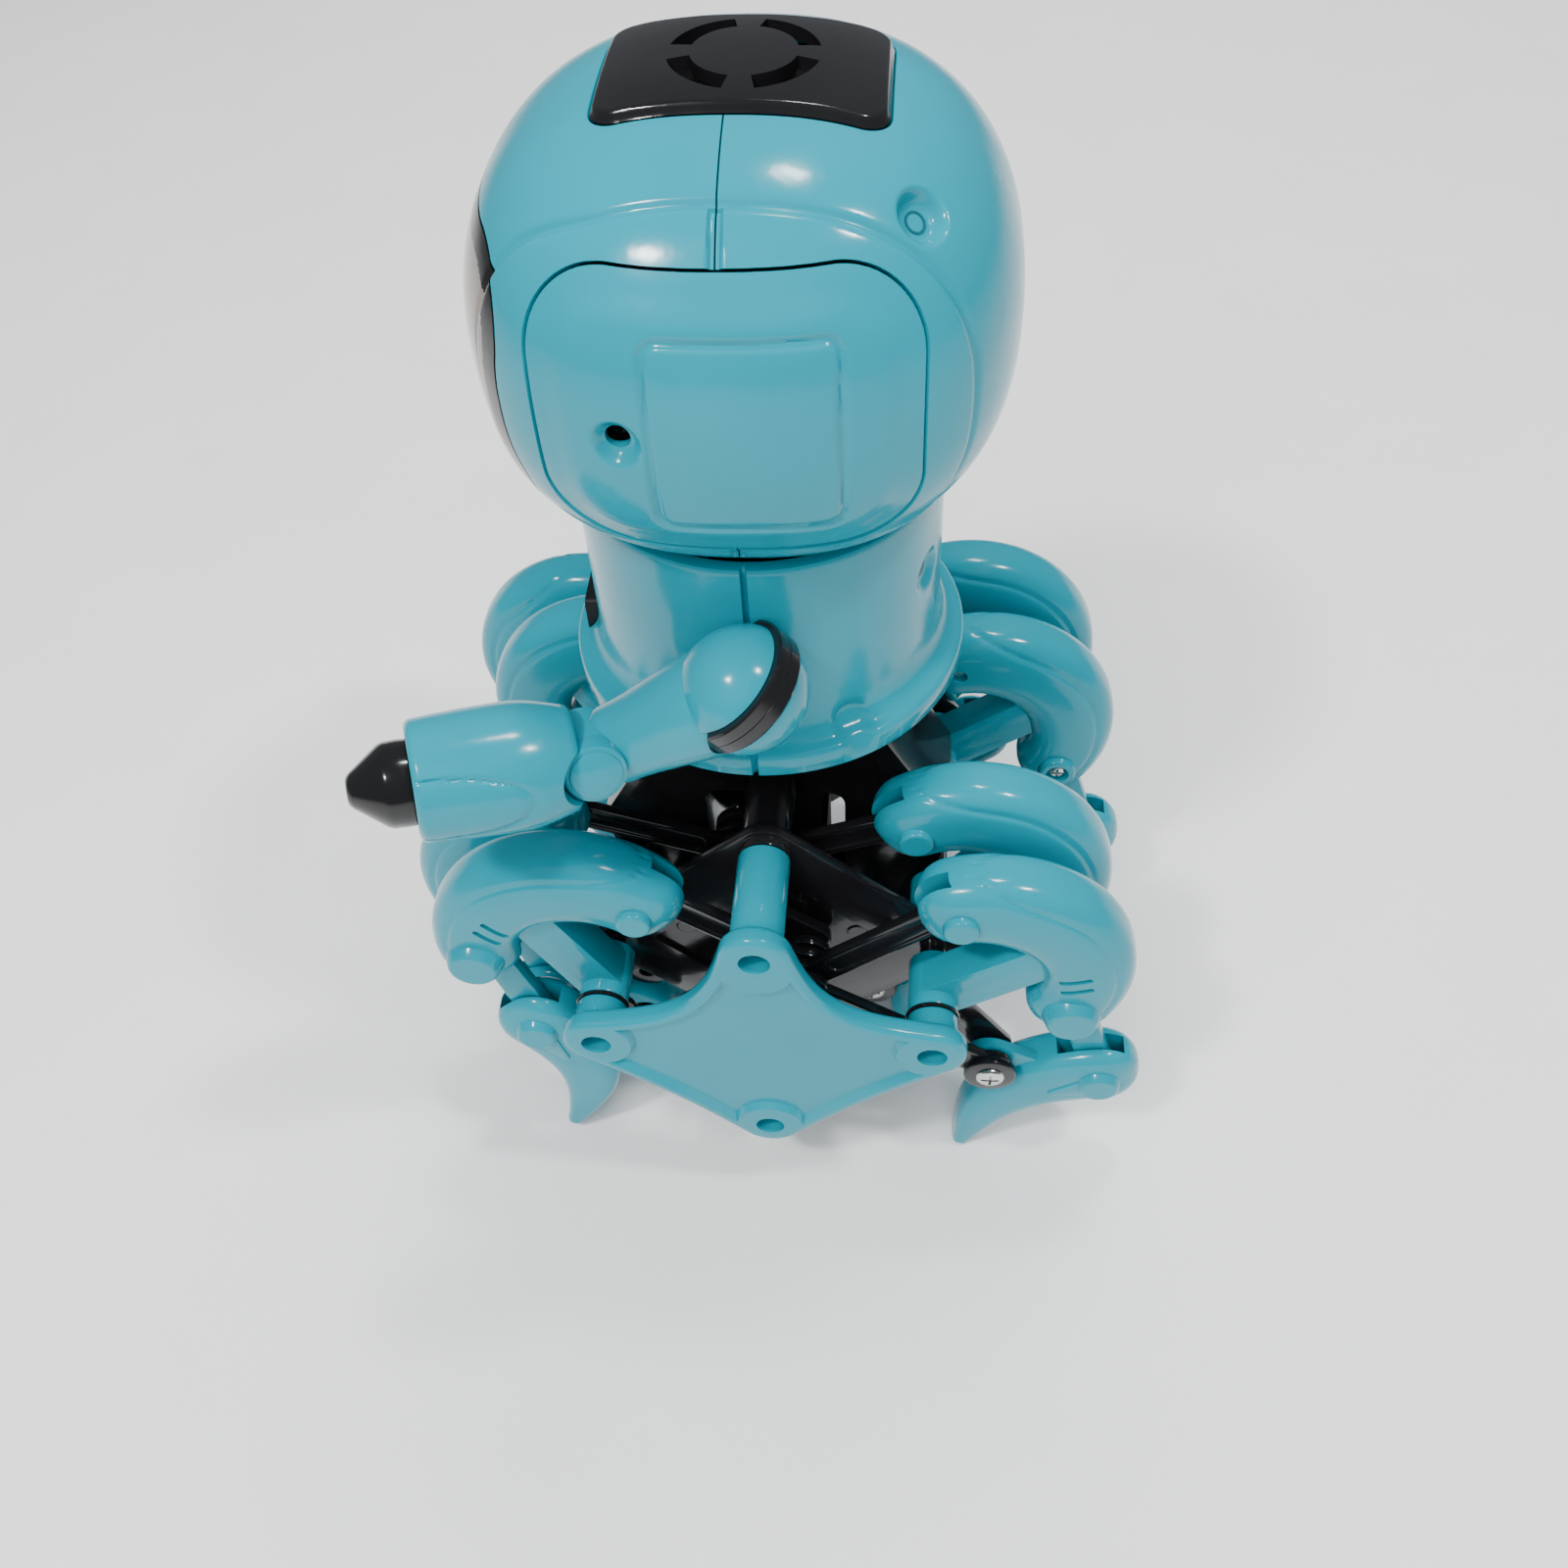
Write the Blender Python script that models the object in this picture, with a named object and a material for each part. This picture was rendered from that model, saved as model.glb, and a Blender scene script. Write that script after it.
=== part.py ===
"""Eight-legged walking toy robot: linkage legs, turning torso, helmet head, two arms.

Frame: origin on the floor under the middle, +Z up, front is -Y, the robot's left is +X.
Dimensions are in millimetres here and turned into metres when vertices are made.
"""
import math
import bpy
import bmesh
from mathutils import Vector, Matrix

MM = 0.001
SHIFT_Y = -1.56            # puts the middle of the whole model over the origin
GAP = 0.3                  # clearance between neighbouring pieces

# leg linkage, seen along X: (y, z)
CRANK_Z = 63.09            # crank axis height
CRANK_R = 8.33             # crank throw
CRANK_DEG = -35.48         # rest angle of the left outer pin
PIVOT = (30.14, 54.02)     # fixed thigh pivot, rear side
L_B, L_J, L_E, L_D = 27.47, 35.64, 33.66, 24.76
L_C, L_K, L_F, L_G = 23.78, 42.92, 26.48, 21.22
L_H, L_I = 38.99, 33.94
LEG_X = {"inner": 20.2, "outer": 38.7}
THIGH_T = 13.0             # thigh thickness along X
THIGH_W = 8.3              # half width of the curved thigh
FOOT_T = 10.0
ROD_T = 2.0
ROD_STEP = 2.6

# body
COVER_X, COVER_T = 53.6, 4.0
TOP_BOSS_Z, LOW_BOSS_Z = 81.6, 26.4
FLOOR_Z = 105.5            # underside of the torso flange
TORSO_R, TORSO_TOP = 29.0, 145.5
FLANGE_R = 33.3
WALL = 2.2
HEAD_C = Vector((0.0, 0.0, 173.0))
HEAD_R = Vector((38.8, 39.2, 33.0))
HEAD_N = 2.4
HEAD_CUT = 142.5

# arms
SHOULDER = Vector((37.6, 0.0, 130.2))
BALL_R = 9.8
ELBOW = Vector((41.8, -24.0, 119.6))
FOREARM_DIR = Vector((0.338, -0.93, 0.12)).normalized()
ELBOW_AXIS = Vector((0.89, 0.357, 0.26)).normalized()
BAND_AXIS = Vector((0.067, -0.636, 0.769)).normalized()   # axis of the shoulder band
BAND_SHIFT = 1.0          # band centre from the shoulder centre, along its axis
FOREARM_L, FOREARM_R = 26.5, 10.2

TEAL = (0.035, 0.52, 0.62, 1)
BLACK = (0.012, 0.012, 0.014, 1)
COLOURS = {"teal": (TEAL, 0.28), "black": (BLACK, 0.22), "smoke": ((0.33, 0.30, 0.28, 1), 0.15),
           "steel": ((0.6, 0.6, 0.6, 1), 0.3), "board": ((0.03, 0.22, 0.09, 1), 0.5),
           "cell": ((0.25, 0.25, 0.27, 1), 0.4)}


# ---------------------------------------------------------------- basics
def clear():
    for ob in list(bpy.data.objects):
        bpy.data.objects.remove(ob, do_unlink=True)


def material(name, kind):
    mat = bpy.data.materials.new(name + "_mat")
    mat.use_nodes = True
    colour, rough = COLOURS[kind]
    node = mat.node_tree.nodes["Principled BSDF"]
    node.inputs["Base Color"].default_value = colour
    node.inputs["Roughness"].default_value = rough
    mat.diffuse_color = colour
    return mat


def to_object(name, bm):
    bmesh.ops.recalc_face_normals(bm, faces=bm.faces)
    mesh = bpy.data.meshes.new(name)
    bm.to_mesh(mesh)
    bm.free()
    ob = bpy.data.objects.new(name, mesh)
    bpy.context.scene.collection.objects.link(ob)
    return ob


def bake(ob):
    deps = bpy.context.evaluated_depsgraph_get()
    mesh = bpy.data.meshes.new_from_object(ob.evaluated_get(deps))
    ob.modifiers.clear()
    ob.data = mesh


def boolean(ob, tools, kind):
    for tool in tools:
        mod = ob.modifiers.new("b", "BOOLEAN")
        mod.operation, mod.solver, mod.object = kind, "EXACT", tool
        bake(ob)
        bpy.data.objects.remove(tool, do_unlink=True)
    return ob


def join(ob, *tools):
    return boolean(ob, tools, "UNION")


def cut(ob, *tools):
    return boolean(ob, tools, "DIFFERENCE")


def keep(ob, tool):
    return boolean(ob, [tool], "INTERSECT")


def bevel(ob, width, segments=2, angle=40):
    mod = ob.modifiers.new("v", "BEVEL")
    mod.width, mod.segments, mod.limit_method = width * MM, segments, "ANGLE"
    mod.angle_limit = math.radians(angle)
    mod.use_clamp_overlap = True
    bake(ob)
    return ob


def finish(ob, kind, origin):
    """Give the node its colour and put its origin on its joint."""
    bm = bmesh.new()
    bm.from_mesh(ob.data)
    bmesh.ops.remove_doubles(bm, verts=bm.verts, dist=0.00001)
    bmesh.ops.recalc_face_normals(bm, faces=bm.faces)
    bmesh.ops.triangulate(bm, faces=bm.faces)
    bm.to_mesh(ob.data)
    bm.free()
    shift = Vector(origin) * MM
    ob.data.transform(Matrix.Translation(-shift))
    ob.location = shift + Vector((0, SHIFT_Y, 0)) * MM
    ob.data.materials.clear()
    ob.data.materials.append(material(ob.name, kind))
    return ob


# ---------------------------------------------------------------- 2-D outlines
def circle(c, r, n=20, start=0.0):
    return [(c[0] + r * math.cos(start + 2 * math.pi * i / n),
             c[1] + r * math.sin(start + 2 * math.pi * i / n)) for i in range(n)]


def hull(discs, n=20):
    """Convex outline around discs [(centre, radius), ...]."""
    pts = sorted({(round(p[0], 5), round(p[1], 5)) for c, r in discs for p in circle(c, r, n)})

    def half(seq):
        out = []
        for p in seq:
            while len(out) > 1 and ((out[-1][0] - out[-2][0]) * (p[1] - out[-2][1]) -
                                    (out[-1][1] - out[-2][1]) * (p[0] - out[-2][0])) <= 1e-6:
                out.pop()
            out.append(p)
        return out[:-1]
    return half(pts) + half(reversed(pts))


def ribbon(points, widths, cap=6):
    """Outline of a stroke of varying half width with round ends."""
    left, right, n = [], [], len(points)
    dirs = []
    for i in range(n):
        a, b = Vector(points[max(i - 1, 0)]), Vector(points[min(i + 1, n - 1)])
        dirs.append((b - a).normalized())
    for p, w, d in zip(points, widths, dirs):
        left.append((p[0] - d.y * w, p[1] + d.x * w))
        right.append((p[0] + d.y * w, p[1] - d.x * w))

    def end(p, w, d, sign):
        base = math.atan2(d.y, d.x)
        out = []
        for i in range(1, cap):
            a = base + math.pi / 2 - math.pi * i / cap if sign > 0 else \
                base - math.pi / 2 - math.pi * i / cap
            out.append((p[0] + w * math.cos(a), p[1] + w * math.sin(a)))
        return out
    return (left + end(points[-1], widths[-1], dirs[-1], 1) + right[::-1] +
            end(points[0], widths[0], dirs[0], -1))


def mirror(loop, sign):
    return [(sign * p[0], p[1]) for p in loop]


def rounded_rect(c, w, h, r, n=5):
    out = []
    for k, (sx, sy) in enumerate([(1, 1), (-1, 1), (-1, -1), (1, -1)]):
        for i in range(n):
            a = math.pi / 2 * (k + i / (n - 1))
            out.append((c[0] + sx * (w / 2 - r) + r * math.cos(a),
                        c[1] + sy * (h / 2 - r) + r * math.sin(a)))
    return out


# ---------------------------------------------------------------- solids
def prism(name, loops, lo, hi, axis="X"):
    """Plate from closed loops (first the outline, then holes) between lo and hi."""
    place = {"X": lambda a, b, h: (h, a, b), "Y": lambda a, b, h: (a, h, b),
             "Z": lambda a, b, h: (a, b, h)}[axis]
    bm = bmesh.new()
    edges = []
    for loop in loops:
        vs = [bm.verts.new(Vector(place(a, b, lo)) * MM) for a, b in loop]
        edges += [bm.edges.new((vs[i], vs[(i + 1) % len(vs)])) for i in range(len(vs))]
    if len(loops) == 1:
        bm.faces.new(vs)
    else:
        bmesh.ops.triangle_fill(bm, use_beauty=True, use_dissolve=False, edges=edges)
    res = bmesh.ops.extrude_face_region(bm, geom=bm.faces[:])
    new = [v for v in res["geom"] if isinstance(v, bmesh.types.BMVert)]
    shift = Vector(place(0, 0, hi - lo)) * MM
    for v in new:
        v.co += shift
    return to_object(name, bm)


def rod_along(name, a, b, ra, rb=None, n=20):
    """Round bar or cone from point a to point b."""
    a, b = Vector(a), Vector(b)
    rb = ra if rb is None else rb
    bm = bmesh.new()
    bmesh.ops.create_cone(bm, cap_ends=True, segments=n, radius1=ra * MM, radius2=rb * MM,
                          depth=(b - a).length * MM)
    turn = (b - a).to_track_quat("Z", "Y").to_matrix().to_4x4()
    bmesh.ops.transform(bm, matrix=Matrix.Translation((a + b) / 2 * MM) @ turn, verts=bm.verts)
    return to_object(name, bm)


def ball(name, c, r, u=18, v=10):
    bm = bmesh.new()
    bmesh.ops.create_uvsphere(bm, u_segments=u, v_segments=v, radius=r * MM)
    bmesh.ops.translate(bm, vec=Vector(c) * MM, verts=bm.verts)
    return to_object(name, bm)


def box(name, lo, hi):
    return prism(name, [[(lo[1], lo[2]), (hi[1], lo[2]), (hi[1], hi[2]), (lo[1], hi[2])]],
                 lo[0], hi[0])


def lathe(name, profile, centre=(0, 0), start=0.0, sweep=360.0, n=32):
    """Turn a closed (radius, z) outline about a vertical axis."""
    bm = bmesh.new()
    full = sweep >= 360
    rings = []
    for k in range(n if full else n + 1):
        a = math.radians(start + sweep * k / n)
        rings.append([bm.verts.new(Vector((centre[0] + r * math.cos(a), centre[1] + r * math.sin(a),
                                           z)) * MM) for r, z in profile])
    m = len(profile)
    for k in range(n):
        p, q = rings[k], rings[(k + 1) % len(rings)]
        for i in range(m):
            j = (i + 1) % m
            bm.faces.new((p[i], p[j], q[j], q[i]))
    if not full:
        bm.faces.new(rings[0])
        bm.faces.new(rings[-1])
    return to_object(name, bm)


# ---------------------------------------------------------------- linkage
def meet(a, ra, b, rb, side):
    d = b - a
    x = (d.length_squared + ra * ra - rb * rb) / (2 * d.length)
    h = math.sqrt(max(ra * ra - x * x, 0))
    u = d.normalized()
    return a + u * x + Vector((-u.y, u.x)) * (side * h)


def crank_pin(side, row):
    """Pin centre (y, z); the four pins alternate by half a turn."""
    flip = (row == "inner") != (side == "right")
    a = math.radians(CRANK_DEG + (180 if flip else 0))
    return Vector((CRANK_R * math.cos(a), CRANK_Z + CRANK_R * math.sin(a)))


def solve(side, row, end):
    """Rest points of one leg, as (y, z)."""
    s = 1 if end == "rear" else -1
    pin, piv = crank_pin(side, row), Vector(PIVOT)
    pin = Vector((s * pin.x, pin.y))
    u = meet(pin, L_J, piv, L_B, 1)
    v = meet(u, L_E, piv, L_D, 1)
    low = meet(pin, L_K, piv, L_C, -1)
    knee = meet(v, L_F, low, L_G, 1)
    toe = meet(knee, L_H, low, L_I, 1)
    pts = {"pin": pin, "P": piv, "U": u, "V": v, "Lw": low, "K": knee, "F": toe}
    return s, pts


def leg_plane(side, row):
    return (1 if side == "left" else -1) * LEG_X[row]


def span(side, centre, lo, hi):
    """X range measured outward from the leg plane."""
    s = 1 if side == "left" else -1
    return sorted((centre + s * lo, centre + s * hi))


# ---------------------------------------------------------------- leg pieces
def arc_centre(pts):
    """Centre of the curved thigh's middle line."""
    u, v = pts["U"], pts["V"]
    mid, d = (u + v) / 2, v - u
    back = Vector((d.y, -d.x)).normalized()
    return mid + back * 7.5


def thigh_line(pts, n=8):
    c, u, v = arc_centre(pts), pts["U"], pts["V"]
    a0 = math.atan2(u.y - c.y, u.x - c.x)
    a1 = math.atan2(v.y - c.y, v.x - c.x)
    if a1 > a0:
        a1 -= 2 * math.pi
    r = (u - c).length
    return [(c.x + r * math.cos(a0 + (a1 - a0) * i / (n - 1)),
             c.y + r * math.sin(a0 + (a1 - a0) * i / (n - 1))) for i in range(n)]


def thigh(name, side, row, end):
    s, pts = solve(side, row, end)
    xc = leg_plane(side, row)
    line = thigh_line(pts)
    widths = [THIGH_W * (0.94 + 0.10 * math.sin(math.pi * i / 7)) for i in range(8)]
    x0, x1 = span(side, xc, -THIGH_T / 2, THIGH_T / 2)
    body = bevel(prism(name, [mirror(ribbon(line, widths, 4), s)], x0, x1), 3.6, 2, 60)
    arm = mirror(hull([(pts["P"], 4.4), (Vector(line[4]), 3.2)], 12), s)
    inset = 1.5 if row == "inner" else 0.4
    a0, a1 = span(side, xc, -THIGH_T / 2 + inset, THIGH_T / 2 - 0.5)
    join(body, prism("arm", [arm], a0, a1))
    off = ROD_STEP / 2 * (1 if end == "rear" else -1)
    off = off if side == "left" else -off
    slot = mirror(hull([(pts["U"], 6.4), (pts["U"] + (pts["pin"] - pts["U"]).normalized() * 18, 7.5),
                        (pts["U"] + Vector((-10, 3)), 6.4)], 10), s)
    cut(body, prism("slot", [slot], xc + off - 1.5, xc + off + 1.5))
    cut(body, prism("bore", [mirror(circle(pts["P"], 2.8, 12), s)], x0 - 1, x1 + 1))
    u = (s * pts["U"].x, pts["U"].y)
    p0, p1 = span(side, xc, -THIGH_T / 2 + 2, THIGH_T / 2 + 0.9)
    join(body, prism("cap", [circle(u, 1.5, 8)], *sorted((p0, p1))))
    c0, c1 = span(side, xc, THIGH_T / 2 - 1.5, THIGH_T / 2 + 0.9)
    join(body, prism("cap", [circle(u, 3.1, 12)], c0, c1))
    v = (s * pts["V"].x, pts["V"].y)
    c0, c1 = span(side, xc, THIGH_T / 2 - 2.0, THIGH_T / 2 + 1.6)
    join(body, prism("cap", [circle(v, 4.6, 12)], c0, c1))
    return finish(body, "teal", (xc, s * PIVOT[0], PIVOT[1]))


def foot(name, side, row, end):
    s, pts = solve(side, row, end)
    xc = leg_plane(side, row)
    toe = Vector((pts["F"].x, max(pts["F"].y, 0.0) + 1.7))
    knee, low = pts["K"], pts["Lw"]
    shin = toe - knee
    side_v = Vector((-shin.y, shin.x)).normalized()
    if side_v.dot(low - knee) < 0:
        side_v = -side_v
    line, widths = [], []
    for i in range(7):
        t = i / 6
        line.append(tuple(knee + shin * t + side_v * (6.5 * math.sin(math.pi * t ** 0.9))))
        widths.append(6.3 * (1 - t) ** 1.1 + 1.7 + 1.6 * math.sin(math.pi * t))
    widths[-1] = 1.7
    x0, x1 = span(side, xc, -FOOT_T / 2, FOOT_T / 2)
    body = bevel(prism(name, [mirror(ribbon(line, widths, 5), s)], x0, x1), 1.5, 1, 50)
    lug = mirror(hull([(low, 4.6), (Vector(line[1]), 3.0), (Vector(line[3]), 2.6)], 10), s)
    lo, hi = (0.4, 2.4) if end == "rear" else (-2.4, -0.4)
    join(body, prism("lug", [lug], *span(side, xc, lo, hi)))
    notch = mirror(hull([(knee, 6.0), (knee + (pts["V"] - knee).normalized() * 14, 6.0)], 10), s)
    cut(body, prism("notch", [notch], xc - 1.8, xc + 1.8))
    cut(body, prism("bore", [mirror(circle(low, 1.9, 10), s)], x0 - 1, x1 + 1))
    k = (s * knee.x, knee.y)
    c0, c1 = span(side, xc, FOOT_T / 2 - 1.5, FOOT_T / 2 + 1.3)
    join(body, prism("cap", [circle(k, 3.9, 12)], c0, c1))
    return finish(body, "teal", (xc, s * low.x, low.y))


def rod(name, side, row, end, kind):
    s, pts = solve(side, row, end)
    xc = leg_plane(side, row)
    sign = 1 if end == "rear" else -1
    off = sign * ROD_STEP * (0.5 if kind == "upper" else 1.5)
    x0, x1 = span(side, xc, off - ROD_T / 2, off + ROD_T / 2)
    far = pts["U"] if kind == "upper" else pts["Lw"]
    hole = 2.7 if kind == "upper" else 1.5
    mid = pts["pin"] + (far - pts["pin"]) * 0.5
    near_loop = mirror(hull([(pts["pin"], 4.4), (far, 4.4)], 12), s)
    loops = [near_loop, mirror(circle(pts["pin"], 2.3, 10), s)]
    if kind == "upper":
        loops.append(mirror(circle(far, hole, 10), s))
    body = prism(name, loops, x0, x1)
    if kind == "lower":
        f = (s * far.x, far.y)
        a, b = span(side, xc, off + sign * 0.5, off + sign * 2.3)
        join(body, prism("boss", [circle(f, 5.0, 12)], min(a, b), max(a, b)))
        a, b = span(side, xc, off + sign * 0.5, off - sign * (ROD_T / 2 + 2.6))
        join(body, prism("stud", [circle(f, 1.6, 8)], min(a, b), max(a, b)))
    return finish(body, "black", (xc, s * pts["pin"].x, pts["pin"].y))


def legs():
    for side in ("left", "right"):
        for row in ("outer", "inner"):
            for end in ("front", "rear"):
                tag = side + "_" + row + "_" + end
                thigh("thigh_" + tag, side, row, end)
                foot("foot_" + tag, side, row, end)
                rod("upper_rod_" + tag, side, row, end, "upper")
                rod("lower_rod_" + tag, side, row, end, "lower")


# ---------------------------------------------------------------- chassis
def crankshaft():
    body = rod_along("crankshaft", (-12.3, 0, CRANK_Z), (12.3, 0, CRANK_Z), 2.5, n=14)
    o = (0, CRANK_Z)
    for side in ("left", "right"):
        s = 1 if side == "left" else -1
        inner, outer = crank_pin(side, "inner"), crank_pin(side, "outer")

        def add(loop, a, b):
            join(body, prism("c", [loop], *sorted((s * a, s * b))))
        add(hull([(Vector(o), 4.5), (inner, 4.5)], 16), 12.2, 14.4)
        add(circle(inner, 2.0, 12), 14.0, 26.3)
        add(hull([(Vector(o), 4.5), (inner, 4.5)], 16), 25.8, 27.5)
        add(circle(o, 3.6, 16), 27.3, 30.5)
        add(hull([(Vector(o), 4.8), (outer, 4.5)], 16), 30.3, 32.8)
        add(circle(outer, 2.0, 12), 32.5, 45.0)
    return finish(body, "black", (0, 0, CRANK_Z))


def diamond(half_y, half_z, r, cz, n=14):
    return hull([(Vector((half_y, PIVOT[1])), r), (Vector((-half_y, PIVOT[1])), r),
                 (Vector((0, cz + half_z)), r), (Vector((0, cz - half_z)), r)], n)


def chassis():
    mid_z = (TOP_BOSS_Z + LOW_BOSS_Z) / 2
    half_z = (TOP_BOSS_Z - LOW_BOSS_Z) / 2
    discs = [((s * y, z), r) for s in (-1, 1) for y, z, r in ((30, 67, 3), (24, 42, 4), (15, 92, 4))]
    ring = [hull([(Vector(c), r) for c, r in discs + [((0, 30), 5)]], 12),
            rounded_rect((0, 55), 26, 42, 3, 3)]
    body = prism("chassis_frame", ring, -11.5, 11.5)
    join(body, box("neck", (-11.5, -15, 88), (11.5, 15, 100)))
    for s in (-1, 1):
        a, b = sorted((s * 27.9, s * 29.9))
        join(body, prism("plate", [diamond(PIVOT[0], half_z, 5.4, mid_z),
                                   circle((0, CRANK_Z), 4.1, 16)], a, b))
    spans = [((0, TOP_BOSS_Z), 4.4, 31.5), ((0, LOW_BOSS_Z), 4.4, 31.5)]
    spans += [((s * PIVOT[0], PIVOT[1]), 2.5, 45.3) for s in (-1, 1)]
    for c, r, reach in spans:
        join(body, prism("shaft", [circle(c, r, 14)], -reach, reach))
    join(body, lathe("deck", [(0.001, 98.5), (25, 98.5), (29, 101.5), (29, 104.9), (6.5, 104.9),
                              (6.5, 107.4), (0.001, 107.4)], n=28))
    return finish(body, "black", (0, 0, FLOOR_Z))


def walk_motor():
    body = box("walk_motor", (-9, -9, 34), (9, 9, 58.8))
    bevel(body, 1.0, 1)
    join(body, rod_along("can", (-8, 0, 44), (10.8, 0, 44), 7.0, n=16))
    return finish(body, "black", (0, 0, 46))


def cover_outline(grow=0.0):
    """Diamond side plate with hollow upper edges and nearly straight lower ones."""
    top, low = (0.0, TOP_BOSS_Z), (0.0, LOW_BOSS_Z)
    right, left = (PIVOT[0], PIVOT[1]), (-PIVOT[0], PIVOT[1])
    r = 6.2 + grow
    out = []

    def boss(c, a0, a1, n=7):
        for i in range(n):
            a = math.radians(a0 + (a1 - a0) * i / (n - 1))
            out.append((c[0] + r * math.cos(a), c[1] + r * math.sin(a)))

    def side(hollow, n=5):
        out.append(None)
        out.append((hollow, n))
    boss(right, -60, 74)
    side(7.2)
    boss(top, 16, 164)
    side(7.2)
    boss(left, 106, 240)
    side(1.2)
    boss(low, 218, 322)
    side(1.2)
    flat = []
    i = 0
    while i < len(out):
        if out[i] is None:
            hollow, n = out[i + 1]
            a, b = Vector(flat[-1]), Vector(out[(i + 2) % len(out)])
            d = (b - a).normalized()
            inward = Vector((-d.y, d.x))
            for k in range(1, n + 1):
                t = k / (n + 1)
                flat.append(tuple(a + (b - a) * t + inward * hollow * math.sin(math.pi * t)))
            i += 2
        else:
            flat.append(out[i])
            i += 1
    return flat


def side_cover(side):
    s = 1 if side == "left" else -1
    name = "side_cover_" + side

    def x(a, b):
        return sorted((s * a, s * b))
    body = prism(name, [cover_outline()], *x(COVER_X - COVER_T, COVER_X))
    bevel(body, 1.0, 1)
    bosses = [(0, TOP_BOSS_Z), (PIVOT[0], PIVOT[1]), (-PIVOT[0], PIVOT[1]), (0, LOW_BOSS_Z)]
    for c, start in zip(bosses, (31.9, 45.7, 45.7, 31.9)):
        join(body, prism("tube", [circle(c, 4.6, 16)], *x(start, COVER_X - COVER_T + 1)))
    field = [(0, TOP_BOSS_Z - 12), (-PIVOT[0] + 12, PIVOT[1] + 1), (0, LOW_BOSS_Z + 11),
             (PIVOT[0] - 12, PIVOT[1] + 1)]
    cut(body, prism("field", [field], *x(COVER_X - 1.0, COVER_X + 1)))
    for c in bosses:
        cut(body, prism("hole", [circle(c, 2.4, 14)], *x(COVER_X - 6.0, COVER_X + 1)))
    return finish(body, "teal", (s * COVER_X, 0, (TOP_BOSS_Z + LOW_BOSS_Z) / 2))


# ---------------------------------------------------------------- torso and head
def torso_half(name, front):
    z = FLOOR_Z
    profile = [(8.0, z), (FLANGE_R, z), (FLANGE_R, z + 4.2), (31.2, z + 5.2), (29.8, z + 7.4),
               (TORSO_R, z + 11), (TORSO_R, TORSO_TOP), (TORSO_R - WALL, TORSO_TOP),
               (TORSO_R - WALL, z + 2.2), (8.0, z + 2.2)]
    body = lathe(name, profile, start=180 if front else 0, sweep=180, n=18)
    shift_seam(body, front)
    for s in (-1, 1):
        a, b = sorted((s * 20.0, s * 34.0))
        cut(body, prism("hole", [circle((SHOULDER.y, SHOULDER.z), 3.4, 14)], a, b))
    return finish(body, "teal", (0, 0, FLOOR_Z))


def shift_seam(body, front):
    """Move the split faces off y = 0 by half the seam gap."""
    y = (-1 if front else 1) * GAP / 2 * MM
    for v in body.data.vertices:
        if abs(v.co.y) < 1e-7:
            v.co.y = y


def head_point(azimuth, height, inset):
    """Point on the helmet surface, inset inward."""
    c, r, n = HEAD_C, HEAD_R, HEAD_N
    radius = Vector((r.x - inset, r.y - inset, r.z - inset))
    f = min(abs(height) / radius.z, 1.0)
    ring = (1 - f ** n) ** (1 / n)
    ca, sa = math.cos(azimuth), math.sin(azimuth)
    k = (abs(ca) ** n + abs(sa) ** n) ** (-1 / n)
    return Vector((ca * k * ring * radius.x, sa * k * ring * radius.y, c.z + height))


def head_heights(inset, n=9):
    top, low = HEAD_R.z - inset, HEAD_CUT - HEAD_C.z
    out = []
    a0 = math.asin(max(low / top, -1))
    for i in range(n + 1):
        out.append(top * math.sin(a0 + (math.pi / 2 - a0) * i / n))
    return out


def head_shell(name, start, sweep, n):
    bm = bmesh.new()
    full = sweep >= 360
    rings = []
    pole_out = bm.verts.new(Vector((0, 0, HEAD_C.z + HEAD_R.z)) * MM)
    pole_in = bm.verts.new(Vector((0, 0, HEAD_C.z + HEAD_R.z - WALL)) * MM)
    for k in range(n if full else n + 1):
        a = math.radians(start + sweep * k / n)
        outer = [bm.verts.new(head_point(a, h, 0) * MM) for h in head_heights(0)[:-1]]
        inner = [bm.verts.new(head_point(a, h, WALL) * MM) for h in head_heights(WALL)[:-1]]
        rings.append((outer, inner))
    for k in range(n):
        (po, pi), (qo, qi) = rings[k], rings[(k + 1) % len(rings)]
        for i in range(len(po) - 1):
            bm.faces.new((po[i], po[i + 1], qo[i + 1], qo[i]))
            bm.faces.new((pi[i], qi[i], qi[i + 1], pi[i + 1]))
        bm.faces.new((po[-1], pole_out, qo[-1]))
        bm.faces.new((pi[-1], qi[-1], pole_in))
        bm.faces.new((po[0], qo[0], qi[0], pi[0]))
    if not full:
        for outer, inner in (rings[0], rings[-1]):
            path_o, path_i = outer + [pole_out], inner + [pole_in]
            for i in range(len(path_o) - 1):
                bm.faces.new((path_o[i], path_i[i], path_i[i + 1], path_o[i + 1]))
    return to_object(name, bm)


DOOR = dict(c=(0.3, 174.5), w=50.5, h=41.0, r=12.0)
GRILLE = dict(c=(0.0, 1.5), w=26.0, h=38.0, r=4.0)
VISOR = dict(c=(0.0, 172.0), w=56.0, h=40.0, r=12.0)


def panel_tool(spec, grow, axis, lo, hi, n=5):
    loop = rounded_rect(spec["c"], spec["w"] + 2 * grow, spec["h"] + 2 * grow, spec["r"] + grow, n)
    return prism("tool", [loop], lo, hi, axis)


def head_half(name, front):
    body = head_shell(name, 180 if front else 0, 180, 16)
    shift_seam(body, front)
    cut(body, panel_tool(DOOR, 0, "X", -60, -20), panel_tool(DOOR, 0, "X", 20, 60),
        panel_tool(GRILLE, 0, "Z", 180, 230))
    if front:
        cut(body, panel_tool(VISOR, 0, "Y", -60, -20))
    return finish(body, "teal", (0, 0, HEAD_CUT))


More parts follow.
